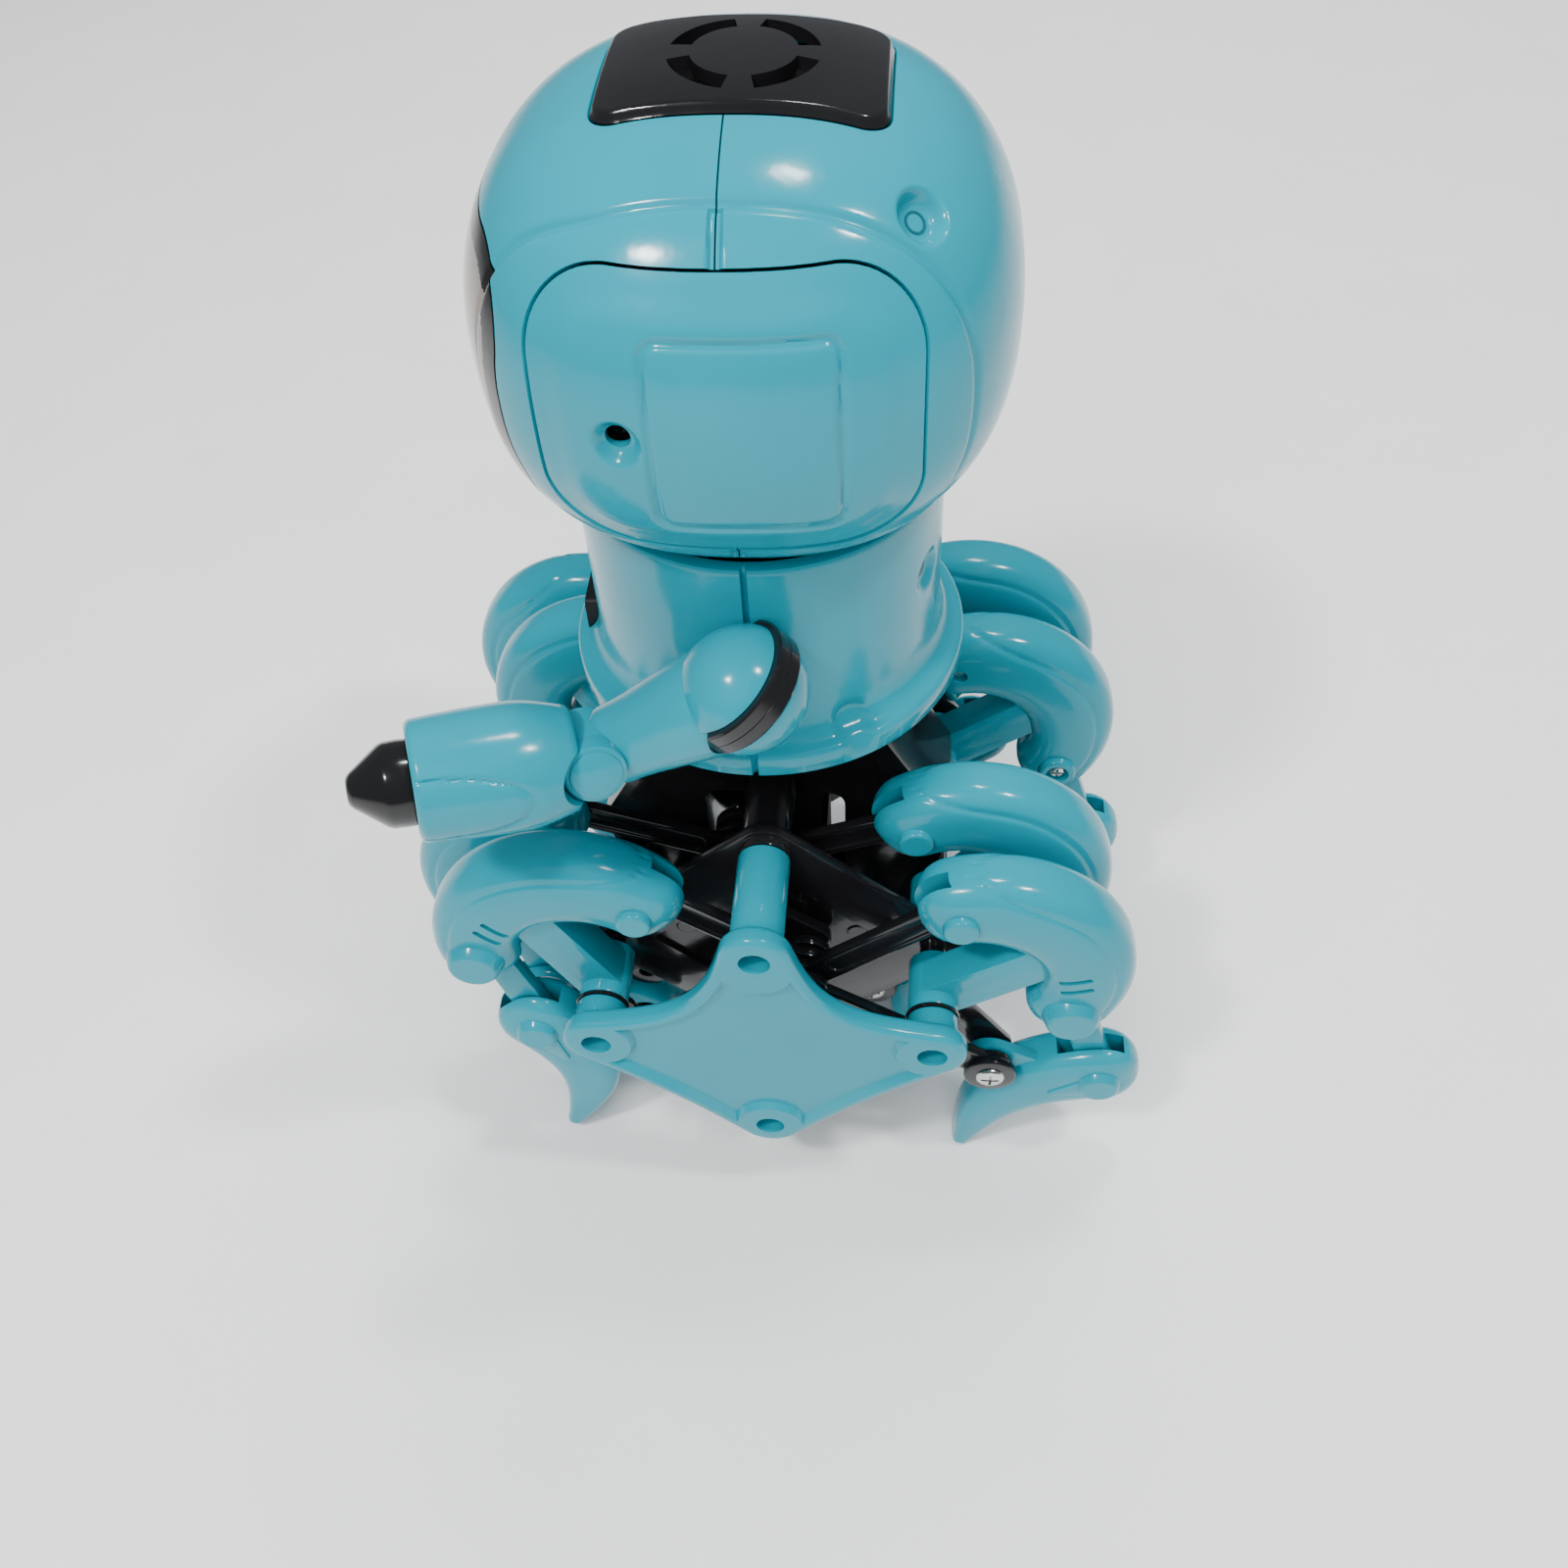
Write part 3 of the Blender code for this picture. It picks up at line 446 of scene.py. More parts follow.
def thigh_tools(pts, line, s, o, xc, side):
    """Cutters for the thigh shell: rod slot, knee room, two short grooves, and on right legs a pin
    hole.
    """
    off = ROD_STEP / 2 * s * o
    u, v = pts["U"], pts["V"]
    slot = flip(hull([(u, 6.4), (u + (pts["pin"] - u).normalized() * 18, 7.5),
                      (u + Vector((-10, 3)), 6.4)]), s)
    room = flip(hull([(v, 7.2), (v + (pts["K"] - v).normalized() * 14, 11.0)]), s)
    tools = [prism([slot], xc + off - 1.5, xc + off + 1.5), prism([room], xc - 1.9, xc + 1.9)]
    along = (Vector(line[44]) - Vector(line[40])).normalized()
    across = Vector((-along.y, along.x))
    reach = across * 2.4 - along * 0.5
    for k in (-1, 1):
        c = Vector(line[43]) + along * (k * 1.5 + 0.5) - across * 2.2
        groove = hull([(c - reach, 0.55), (c + reach, 0.55)], 14)
        tools.append(prism([flip(groove, s)], xc + o * 5.2, xc + o * 9))
    if side == "right":
        tools.append(prism([circle((s * u.x, u.y), 1.5, 24)], xc - o * 8, xc - o * 3))
    return tools


def thigh_shell(pts, line, s, o, xc, side):
    """Fat curved shell between the two upper pins."""
    n = len(line)
    widths = [THIGH_W * (0.94 + 0.10 * math.sin(math.pi * i / (n - 1))) for i in range(n)]
    thick = [THIGH_T / 2 * (0.95 + 0.05 * math.sin(math.pi * i / (n - 1))) for i in range(n)]
    shell = sweep(line, widths, thick, 2.7, s, xc, 132, back_strip)
    return carve(shell, *thigh_tools(pts, line, s, o, xc, side))


def thigh_web(pts, line, s, o, xc):
    """Arm from the shell to the fixed pivot, with the tube that turns on it."""
    ring = [hull([(pts["P"], 4.4), (Vector(line[34]), 4.2)]), circle(pts["P"], 2.7, 32)]
    web = soften(prism([flip(r, s) for r in ring], xc - o * 3.2, xc + o * 3.6), 0.7)
    p = (s * PIVOT.x, PIVOT.y)
    tube = prism([circle(p, 4.5, 40), circle(p, 2.7, 32)], xc - o * 5.2, xc + o * 6.1)
    return merge(web, soften(tube, 0.4, 2))


def knee_link(pts, s, xc):
    """Flat link from the knee up into the thigh, ending just short of the thigh's pin."""
    eyes = hull([(pts["V"] + (pts["K"] - pts["V"]) * 0.14, 2.8), (pts["K"], 3.4)])
    return soften(prism([flip(eyes, s)], xc - 1.4, xc + 1.4), 0.4, 2)


def thigh(side, row, end):
    """Thigh shell with its caps, pivot arm, pins and bolt socket, and the knee link inside it."""
    s, pts = solve(side, row, end)
    o, xc, tag = seat(side, row, end)
    body = "thigh_" + tag
    line = thigh_arc(pts)
    place("thigh_shell_" + tag, body, TEAL, thigh_shell(pts, line, s, o, xc, side), angle=28,
          replaces=(body,))
    u, v = (s * pts["U"].x, pts["U"].y), (s * pts["V"].x, pts["V"].y)
    h = THIGH_T / 2
    trims = [cap(u, xc + o * (h - 2), xc + o * (h + 0.9), 3.3, 3.0),
             cap(v, xc + o * (h - 2.5), xc + o * (h + 1.6), 5.8, 4.3)]
    place("thigh_caps_" + tag, body, TEAL, merge(*trims))
    place("thigh_web_" + tag, body, TEAL, thigh_web(pts, line, s, o, xc))
    pin = cap(u, xc - o * 5, xc + o * 5, 1.5, 1.5, 20)
    bolt = screw(v, xc - o * (h - 0.8), -o, 1.7)
    place("thigh_pins_" + tag, body, STEEL, merge(pin, bolt))
    hole = cap(v, xc - o * (h - 1.5), xc - o * (h + 0.9), 4.0, 3.6)
    hole = carve(hole, prism([circle(v, 2.3, 32)], xc - o * (h - 0.9), xc - o * (h + 3)))
    place("thigh_socket_" + tag, body, TEAL, hole)
    place("knee_link_" + tag, "foot_" + tag, TEAL, knee_link(pts, s, xc))


def foot_claw(knee, toe, out, s, xc):
    """Bowed claw from knee to toe, and the line along its middle."""
    shin = toe - knee
    n = 50
    line, widths, thick = [], [], []
    for i in range(n):
        t = i / (n - 1)
        line.append(tuple(knee + shin * t + out * (6.5 * math.sin(math.pi * t ** 0.9))))
        widths.append(6.3 * (1 - t) ** 1.1 + TOE_R + 1.6 * math.sin(math.pi * t))
        thick.append(FOOT_T / 2 * (1 - 0.22 * t * t))
    widths[-1] = TOE_R
    return sweep(line, widths, thick, 3.6, s, xc, 56), line


def foot(side, row, end):
    """Claw with a notch for the knee link, a round knee cap, a fin and the lug for the lower rod."""
    s, pts = solve(side, row, end)
    o, xc, tag = seat(side, row, end)
    toe = Vector((pts["F"].x, max(pts["F"].y, 0.0) + TOE_R))
    knee, low = pts["K"], pts["Lw"]
    shin = toe - knee
    out = Vector((-shin.y, shin.x)).normalized()
    if out.dot(low - knee) < 0:
        out = -out
    claw, line = foot_claw(knee, toe, out, s, xc)
    notch = flip(hull([(knee, 6.2), (knee + (pts["V"] - knee).normalized() * 14, 6.2)]), s)
    claw = carve(claw, prism([notch], xc - 1.8, xc + 1.8))
    place("foot_claw_" + tag, "foot_" + tag, TEAL, claw, angle=28, replaces=("foot_" + tag,))
    k, lo = (s * knee.x, knee.y), (s * low.x, low.y)
    h = FOOT_T / 2
    fin = hull([(knee, 3.2), (Vector(line[11]) - out * 0.8, 0.8)])
    parts = [cap(k, xc + o * (h - 2), xc + o * (h + 1.3), 4.6, 3.6),
             soften(prism([flip(fin, s)], xc + o * (h - 2), xc + o * (h + 0.35)), 0.3, 2)]
    a, b = (0.4, 2.4) if end == "rear" else (-2.4, -0.4)
    lug = [flip(hull([(low, 4.6), (Vector(line[8]), 3.0), (Vector(line[24]), 2.6)]), s),
           circle(lo, 1.9, 24)]
    parts.append(soften(prism(lug, xc + o * a, xc + o * b), 0.35, 2))
    place("foot_trim_" + tag, "foot_" + tag, TEAL, merge(*parts))


def rod_bar(pin, far, hole, s, o, x):
    """Flat bar with a long well in its outer face, and the eyes at its two ends."""
    d = (far - pin).normalized()
    bar = flip(hull([(pin + d * 2, 3.0), (far - d * 2, 3.0)]), s)
    well = flip(hull([(pin + d * 8, 1.9), (far - d * 8, 1.9)]), s)
    slab = carve(prism([bar], x - 0.95, x + 0.95), prism([well], x + o * 0.45, x + o * 2))
    holes = ((pin, 2.3), (far, hole))
    eyes = [prism([flip(circle(c, 4.4, 36), s), flip(circle(c, r, 24), s)], x - 1.0, x + 1.0)
            for c, r in holes]
    drill = [prism([flip(circle(c, r, 24), s)], x - 3, x + 3) for c, r in holes]
    slab = carve(soften(slab, 0.3, 2), *drill)
    return [slab] + [soften(e, 0.3, 2) for e in eyes]


def rods(side, row, end):
    """The two black rods from the crank pin; the lower one ends in a boss with a screw."""
    s, pts = solve(side, row, end)
    o, xc, tag = seat(side, row, end)
    pin = pts["pin"]
    upper = rod_bar(pin, pts["U"], 2.7, s, o, xc + o * s * ROD_STEP * 0.5)
    place("upper_bar_" + tag, "upper_rod_" + tag, BLACK, merge(*upper),
          replaces=("upper_rod_" + tag,))
    low = pts["Lw"]
    f = (s * low.x, low.y)
    off = o * s * ROD_STEP * 1.5
    lower = rod_bar(pin, low, 1.5, s, o, xc + off)
    near, far = sorted((off + s * o * 0.5, off + s * o * 2.3))
    lower.append(soften(prism([circle(f, 5.0, 40)], xc + near, xc + far), 0.5, 3))
    place("lower_bar_" + tag, "lower_rod_" + tag, BLACK, merge(*lower),
          replaces=("lower_rod_" + tag,))
    place("rod_screw_" + tag, "lower_rod_" + tag, STEEL,
          screw(f, xc + off + s * o * 2.0, s * o, 2.7))


def pivot_link(side, row, end):
    """Link from the lower rod's pin towards the fixed pivot, ending clear of the thigh's eye."""
    s, pts = solve(side, row, end)
    o, xc, tag = seat(side, row, end)
    low = pts["Lw"]
    near_p = pts["P"] + (low - pts["P"]).normalized() * 8.2
    loops = [flip(hull([(near_p, 3.0), (low, 4.3)]), s), flip(circle(low, 1.7, 24), s)]
    off = -o * s * ROD_STEP * 1.5
    link = soften(prism(loops, xc + off * 0.35 - 0.6, xc + off * 0.35 + 0.6), 0.25, 2)
    place("pivot_link_" + tag, "lower_rod_" + tag, BLACK, link)


# ---------------------------------------------------------------- chassis
def crankshaft():
    """Stepped shaft through the frame with two throws a side, and a screw in each end."""
    o2 = (0, CRANK_Z)
    parts = [turned([(0, 2.5), (24.6, 2.5)], (-12.3, 0, CRANK_Z), (12.3, 0, CRANK_Z), 32)]
    for side, s in SIDES:
        inner, outer = crank_pin(side, "inner"), crank_pin(side, "outer")
        spans = [(hull([(Vector(o2), 4.5), (inner, 4.5)]), 12.2, 14.4),
                 (circle(inner, 2.0), 14.0, 26.3),
                 (hull([(Vector(o2), 4.5), (inner, 4.5)]), 25.8, 27.5),
                 (circle(o2, 3.6), 27.3, 30.5),
                 (hull([(Vector(o2), 4.8), (outer, 4.5)]), 30.3, 32.8),
                 (circle(outer, 2.0), 32.5, 45.0)]
        parts += [soften(prism([loop], s * a, s * b), 0.35, 2) for loop, a, b in spans]
    place("crank", "crank", BLACK, merge(*parts), replaces=("crankshaft",))
    bolts = []
    for side, s in SIDES:
        outer = crank_pin(side, "outer")
        bolts.append(screw(tuple(outer), s * 44.9, s, 2.6))
    place("crank_screws", "crank", STEEL, merge(*bolts))


def diamond(half_y, half_z, r, cz):
    """Diamond outline with round corners, through the fixed pivots."""
    return hull([(Vector((half_y, PIVOT.y)), r), (Vector((-half_y, PIVOT.y)), r),
                 (Vector((0, cz + half_z)), r), (Vector((0, cz - half_z)), r)])


def mid_plate(s, cz, hz):
    """Diamond plate beside the crank with a pocket in its outer face, and four round heads."""
    slab = prism([diamond(PIVOT.x, hz, 5.4, cz), circle((0, CRANK_Z), 4.1)], s * 27.9, s * 29.9)
    pocket = diamond(PIVOT.x - 9.5, hz - 8, 1.5, cz)
    slab = carve(soften(slab, 0.35, 2), prism([pocket, circle((0, CRANK_Z), 7.0)],
                                              s * 29.0, s * 31))
    heads = [cap(at, s * 28.8, s * 29.25, 2.2, 2.0, 28)
             for at in ((-16, 57), (7, 46), (16, 57), (-7, 46))]
    return [slab] + heads


def chassis_body():
    """Black frame: ring round the crank, top block, mid plates, cross tubes and the round deck."""
    cz, hz = (TOP_BOSS + LOW_BOSS) / 2, (TOP_BOSS - LOW_BOSS) / 2
    discs = [((s * y, z), r) for s in (-1, 1) for y, z, r in ((30, 67, 3), (24, 42, 4), (15, 92, 4))]
    ring = [hull([(Vector(c), r) for c, r in discs + [((0, 30), 5)]]),
            rounded_rect((0, 55), 26, 42, 3)]
    parts = [soften(prism(ring, -11.5, 11.5), 1.0)]
    parts.append(soften(prism([rounded_rect((0, 94), 30, 12, 1)], -11.5, 11.5), 0.8))
    for s in (-1, 1):
        parts += mid_plate(s, cz, hz)
    tubes = [((0, TOP_BOSS), 4.4, 31.5), ((0, LOW_BOSS), 4.4, 31.5)]
    tubes += [((s * PIVOT.x, PIVOT.y), 2.5, 45.3) for s in (-1, 1)]
    parts += [soften(prism([circle(c, r)], -x, x), 0.4, 2) for c, r, x in tubes]
    deck = [(98.5, 0), (98.5, 25), (101.0, 28.4), (101.6, 29), (104.6, 29), (104.9, 28.7),
            (104.9, 6.5), (107.4, 6.5), (107.4, 0)]
    parts.append(turned(deck, (0, 0, 0), (0, 0, 1), 96))
    place("chassis_body", "chassis", BLACK, merge(*parts), replaces=("chassis_frame",))


def deck_bosses():
    """Six short bosses under the deck."""
    bosses = []
    for k in range(6):
        a = math.radians(60 * k + 30)
        c = Vector((21 * math.cos(a), 21 * math.sin(a), 0))
        bosses.append(turned([(0, 1.9), (3.4, 1.6), (3.6, 0)], c + Vector((0, 0, 99.2)),
                             c + Vector((0, 0, 90)), 20))
    place("deck_bosses", "chassis", BLACK, merge(*bosses))


def pivot_washers():
    """A washer at each end of the two fixed pivots."""
    washers = []
    for s in (-1, 1):
        for k in (-1, 1):
            at = (k * PIVOT.x, PIVOT.y)
            ring = prism([circle(at, 4.9), circle(at, 2.5)], s * 44.95, s * 45.6)
            washers.append(soften(ring, 0.12, 1))
    place("pivot_washers", "chassis", BLACK, merge(*washers))


def cover_outline(grow, hollow, dip, n=18):
    """Side plate outline: rounded bosses joined by hollow upper and nearly straight lower sides."""
    r = 6.2 + grow
    right, top = (PIVOT.x, PIVOT.y), (0.0, TOP_BOSS)
    left, low = (-PIVOT.x, PIVOT.y), (0.0, LOW_BOSS)
    runs = [(right, -60, 74, hollow), (top, 16, 164, hollow), (left, 106, 240, dip),
            (low, 218, 322, dip)]
    arcs = []
    for c, a0, a1, h in runs:
        arcs.append(([(c[0] + r * math.cos(math.radians(a0 + (a1 - a0) * i / 15)),
                       c[1] + r * math.sin(math.radians(a0 + (a1 - a0) * i / 15)))
                      for i in range(16)], h))
    out = []
    for i, (arc, h) in enumerate(arcs):
        out += arc
        a, b = Vector(arc[-1]), Vector(arcs[(i + 1) % 4][0][0])
        d = (b - a).normalized()
        inward = Vector((-d.y, d.x))
        out += [tuple(a + (b - a) * (k / (n + 1)) + inward * h * math.sin(math.pi * k / (n + 1)))
                for k in range(1, n + 1)]
    return out


def loft(a, xa, b, xb):
    """Solid between two outlines with the same number of points, at X = xa and X = xb."""
    bm = bmesh.new()
    low = [bm.verts.new((xa, y, z)) for y, z in a]
    high = [bm.verts.new((xb, y, z)) for y, z in b]
    for i in range(len(low)):
        j = (i + 1) % len(low)
        bm.faces.new((low[i], low[j], high[j], high[i]))
    bm.faces.new(low)
    bm.faces.new(high)
    return bm


def plate_field(s):
    """Recess of the side plate: sloped sides, and a round bite left standing at each boss."""
    field = loft(cover_outline(-3.4, 7.2, 1.2), s * (COVER_X - 1.2),
                 cover_outline(-1.6, 7.2, 1.2), s * (COVER_X + 0.4))
    at = [(0, TOP_BOSS), (0, TOP_BOSS - 2.4), (0, LOW_BOSS)]
    at += [(k * PIVOT.x, PIVOT.y) for k in (-1, 1)]
    for c in at:
        cone = turned([(0, 7.5), (2.6, 5.6)], (s * (COVER_X - 1.6), *c), (s * COVER_X, *c), 48)
        field = carve(field, cone)
    return field


def side_covers():
    """Turquoise side plates with their four bosses and tubes, and a dark teal disc of painted shade
    at the floor of each screw hole.
    """
    bosses = [(0, TOP_BOSS), (PIVOT.x, PIVOT.y), (-PIVOT.x, PIVOT.y), (0, LOW_BOSS)]
    for side, s in SIDES:
        plate = soften(prism([cover_outline(0, 7.2, 1.2)], s * (COVER_X - COVER_T), s * COVER_X),
                       1.3, 5)
        tools = [plate_field(s)]
        tools += [prism([circle(c, 2.7, 40)], s * (COVER_X - 3.2), s * (COVER_X + 2))
                  for c in bosses]
        plate = carve(plate, *tools)
        tubes = [soften(prism([circle(c, 4.6, 48)], s * x, s * (COVER_X - COVER_T + 1)), 0.3, 2)
                 for c, x in zip(bosses, (31.9, 45.7, 45.7, 31.9))]
        place("side_plate_" + side, "chassis", TEAL, merge(plate, *tubes), angle=30,
              replaces=("side_cover_" + side,))
        # Dark teal disc at the floor of each boss hole: painted shade.
        wells = [turned([(0, 2.5), (0.3, 2.2), (0.3, 0)], (s * (COVER_X - 3.2), *c),
                        (s * COVER_X, *c), 24) for c in bosses]
        place("side_plate_well_shade_" + side, "chassis", TEAL_PAINTED_SHADE, merge(*wells))


# ---------------------------------------------------------------- body shells
def rect_sdf(spec, a, b):
    """Distance to the outline of a rounded rectangle, negative inside it."""
    qx = abs(a - spec["c"][0]) - spec["w"] / 2 + spec["r"]
    qy = abs(b - spec["c"][1]) - spec["h"] / 2 + spec["r"]
    return math.hypot(max(qx, 0), max(qy, 0)) + min(max(qx, qy), 0) - spec["r"]


def head_surface(d):
    """Helmet surface point in direction d from its centre, and its outward normal."""
    n, r = HEAD_N, HEAD_R
    k = sum(abs(d[i] / r[i]) ** n for i in range(3)) ** (-1 / n)
    p = Vector((d[0] * k, d[1] * k, d[2] * k))
    normal = Vector([math.copysign(abs(p[i] / r[i]) ** (n - 1) / r[i], p[i]) for i in range(3)])
    return p + HEAD_C, normal.normalized()


def zone(p):
    """Which moulding a helmet point belongs to."""
    if p.z < HEAD_CUT:
        return "none"
    if abs(p.x) > DOOR_MIN_X and rect_sdf(DOOR, p.y, p.z) < 0:
        return "door_left" if p.x > 0 else "door_right"
    if p.z > GRILLE_MIN_Z and rect_sdf(GRILLE, p.x, p.y) < 0:
        return "grille"
    if p.y < VISOR_MAX_Y and rect_sdf(VISOR, p.x, p.z) < 0:
        return "visor"
    return "back" if p.y > 0 else "front"


def line_dip(p):
    """Depth of the moulded lines and dimples in the helmet, in mm. Negative where it stands proud.

    door is the distance to a hatch's outline, pad the distance outside the raised middle band.
    """
    depth = 0.0
    door = rect_sdf(DOOR, p.y, p.z) if abs(p.x) > DOOR_MIN_X else 99
    pad = abs(p.x) - (25.8 - 2.6 * smooth((-14 - p.y) / 16))
    if door > 0:
        depth += 0.5 * math.exp(-(pad / 0.6) ** 2) + 0.5 * smooth((0.9 - pad) / 1.1)
    else:
        depth += 0.35 * smooth((door + 5.5) / 3.5) - 0.05
        depth += 0.6 * math.exp(-(rect_sdf(BADGE, p.y, p.z) / 0.5) ** 2)
        hole = math.hypot(p.y - HATCH_SCREW[0], p.z - HATCH_SCREW[1])
        depth += 1.9 * smooth((3.6 - hole) / 1.9)
    if door > 0 and p.z > 150 and pad > 0.5:
        depth += 0.75 * smooth((0.95 - abs(p.y)) / 0.35)
    for s in (-1, 1):
        r = (p - Vector((s * HEAD_SCREW.x, HEAD_SCREW.y, HEAD_SCREW.z))).length
        depth += 2.0 * smooth((4.0 - r) / 1.6)
    if p.z > 190 and rect_sdf(GRILLE, p.x, p.y) < 0:
        depth -= 1.1 * smooth(-rect_sdf(GRILLE, p.x, p.y) / 1.3)
    return depth


def helmet():
    """Cube-sphere mesh of the helmet, split into its mouldings along their outlines."""
    n = 180
    groups = {}
    axes = [(Vector((1, 0, 0)), Vector((0, 1, 0)), Vector((0, 0, 1))),
            (Vector((-1, 0, 0)), Vector((0, -1, 0)), Vector((0, 0, 1))),
            (Vector((0, 1, 0)), Vector((-1, 0, 0)), Vector((0, 0, 1))),
            (Vector((0, -1, 0)), Vector((1, 0, 0)), Vector((0, 0, 1))),
            (Vector((0, 0, 1)), Vector((1, 0, 0)), Vector((0, 1, 0))),
            (Vector((0, 0, -1)), Vector((1, 0, 0)), Vector((0, -1, 0)))]
    for w, u, v in axes:
        grid = []
        for i in range(n + 1):
            row = []
            for j in range(n + 1):
                a = math.tan(math.pi / 4 * (2 * i / n - 1))
                b = math.tan(math.pi / 4 * (2 * j / n - 1))
                row.append(head_surface(w + u * a + v * b))
            grid.append(row)
        for i in range(n):
            for j in range(n):
                cell = [grid[i][j], grid[i + 1][j], grid[i + 1][j + 1], grid[i][j + 1]]
                mid = sum((c[0] for c in cell), Vector()) / 4
                groups.setdefault(zone(mid), []).append(cell)
    groups.pop("none", None)
    return groups


# Outline of each panel, and which two of x, y and z it is drawn in.
SPEC_OF = {"door_left": (DOOR, 1, 2), "door_right": (DOOR, 1, 2), "grille": (GRILLE, 0, 1),
           "visor": (VISOR, 0, 2)}


def snap(p, inside):
    """Move a point near a panel outline onto it, leaving half the gap each side."""
    for name, (spec, i, j) in SPEC_OF.items():
        if ((name.startswith("door") and abs(p.x) < DOOR_MIN_X)
                or (name == "grille" and p.z < GRILLE_MIN_Z)
                or (name == "visor" and p.y > VISOR_MAX_Y)):
            continue
        d = rect_sdf(spec, p[i], p[j])
        if abs(d) < SNAP_REACH:
            e = 0.01
            q, r = p.copy(), p.copy()
            q[i] += e
            r[j] += e
            g = Vector(((rect_sdf(spec, q[i], q[j]) - d) / e, (rect_sdf(spec, r[i], r[j]) - d) / e))
            target = -PANEL_GAP / 2 if inside else PANEL_GAP / 2
            p[i] += g.x * (target - d)
            p[j] += g.y * (target - d)
    return p


def panel_mesh(cells, inside, thick=1.4, solid=False, seam=0):
    """Shell of one moulding: outer skin, a turned-in edge and, if solid, an inner skin.

    inside says which side of the panel outlines it lies on. seam is -1 or 1 for the front or back
    half, whose edges at y = 0 draw back by half the seam gap.
    """
    bm = bmesh.new()
    made = {}
    for cell in cells:
        vs = []
        for p, normal in cell:
            key = (round(p.x, 4), round(p.y, 4), round(p.z, 4))
            if key not in made:
                made[key] = (bm.verts.new(p), normal)
            vs.append(made[key][0])
        if len(set(vs)) == 4:
            bm.faces.new(vs)
    for v, _ in made.values():
        if any(len(e.link_faces) == 1 for e in v.link_edges):
            p = v.co.copy()
            for _ in range(3):
                p = head_surface(snap(p, inside) - HEAD_C)[0]
            if abs(p.y) < 0.02 and seam:
                p.y = seam * SEAM_GAP / 2
                p = head_surface(p - HEAD_C)[0]
            v.co = p
    for v, normal in made.values():
        v.co -= normal * line_dip(v.co)
    if solid:
        res = bmesh.ops.extrude_face_region(bm, geom=bm.faces[:])
    else:
        rim = [e for e in bm.edges if len(e.link_faces) == 1]
        res = bmesh.ops.extrude_edge_only(bm, edges=rim)
    for v in [g for g in res["geom"] if isinstance(g, bmesh.types.BMVert)]:
        v.co -= (v.co - HEAD_C).normalized() * thick
    return bm


def visor_edge(cell):
    """Distance of a mesh cell from the visor's outline."""
    mid = sum((c[0] for c in cell), Vector()) / 4
    return rect_sdf(VISOR, mid.x, mid.z)


def hatches(groups):
    """Battery doors with their screws, and dark teal cups of painted shade in the screw dimples of
    the helmet's back half.
    """
    for side, s in SIDES:
        drill = prism([circle(HATCH_SCREW, 1.7, 40)], s * 30, s * 42)
        hatch = carve(panel_mesh(groups["door_" + side], True, solid=True), drill)
        place("hatch_" + side, "torso", TEAL, hatch, angle=50,
              replaces=("battery_door_" + side,))
        hole = turned([(0, 0), (0, 2.1), (1.6, 2.1), (1.6, 1.75), (0.4, 1.75), (0.4, 0)],
                      (s * 32.4, *HATCH_SCREW), (s * 50, *HATCH_SCREW), 32)
        place("hatch_screw_well_" + side, "torso", BLACK_DULL, hole)
        place("hatch_screw_" + side, "torso", BLACK, screw(HATCH_SCREW, s * 32.6, s, 1.4))
        c = Vector((s * HEAD_SCREW.x, HEAD_SCREW.y, HEAD_SCREW.z))
        d = head_surface(c - HEAD_C)[1]
        base = c - d * 2.95
        # Dark teal cup in each helmet screw dimple: painted shade of the screw hole.
        well = turned([(0, 0), (0, 1.5), (0.6, 1.5), (0.6, 1.2), (0.2, 1.1), (0.2, 0)], base,
                      base + d)
        place("helmet_screw_well_shade_" + side, "torso", TEAL_PAINTED_SHADE, well)


def visor(groups):
    """Smoke glass inside a black border."""
    border = [c for c in groups["visor"] if visor_edge(c) > -VISOR_RIM]
    glass = [c for c in groups["visor"] if visor_edge(c) <= -VISOR_RIM]
    place("visor_glass", "torso", SMOKE, panel_mesh(glass, True), angle=60,
          replaces=("face_visor",))
    place("visor_border", "torso", BLACK, panel_mesh(border, True), angle=60)


def top_panel(groups):
    """Black panel on top with four curved slots, and the speaker mesh under them."""
    slots = []
    for k in range(4):
        loop = []
        for r, order in ((9.8, 1), (6.9, -1)):
            row = [math.radians(90 * k + 12 + 66 * i / 14) for i in range(15)][::order]
            loop += [(r * math.cos(a), GRILLE["c"][1] + r * math.sin(a)) for a in row]
        slots.append(prism([loop], 198, 212, "Z"))
    top = panel_mesh(groups["grille"], True, 1.8, True)
    place("top_panel", "torso", BLACK, carve(top, *slots), angle=40,
          replaces=("speaker_grille",))
    floor = turned([(0, 0), (0, 11), (0.6, 11.4), (1.0, 0)], (*GRILLE["c"], 201.6),
                   (*GRILLE["c"], 204))
    place("speaker_mesh", "torso", BLACK_DULL, floor)


def head():
    groups = helmet()
    shells = merge(panel_mesh(groups["front"], False, seam=-1),
                   panel_mesh(groups["back"], False, seam=1))
    place("helmet", "torso", TEAL, shells, angle=50, replaces=("head_front", "head_back"))
    hatches(groups)
    visor(groups)
    top_panel(groups)


# Azimuth in degrees and height of each screw well in the torso. The first two get a dark teal plug
# of painted shade at their floor.
TORSO_SCREWS = ((67.5, 130.5), (112.5, 130.5), (30.7, 111.6), (149.3, 111.6))


def torso_radius(r, a, h):
    """Radius of the torso shell with its side seams and screw wells pressed in."""
    gap = abs(math.sin(a)) * r
    out = r - 1.1 * smooth((0.42 - gap) / 0.2)
    for az, hh in TORSO_SCREWS:
        dist = math.hypot((a - math.radians(az)) * r, h - hh)
        out -= 1.3 * smooth((4.0 - dist) / 2.2)
    return out


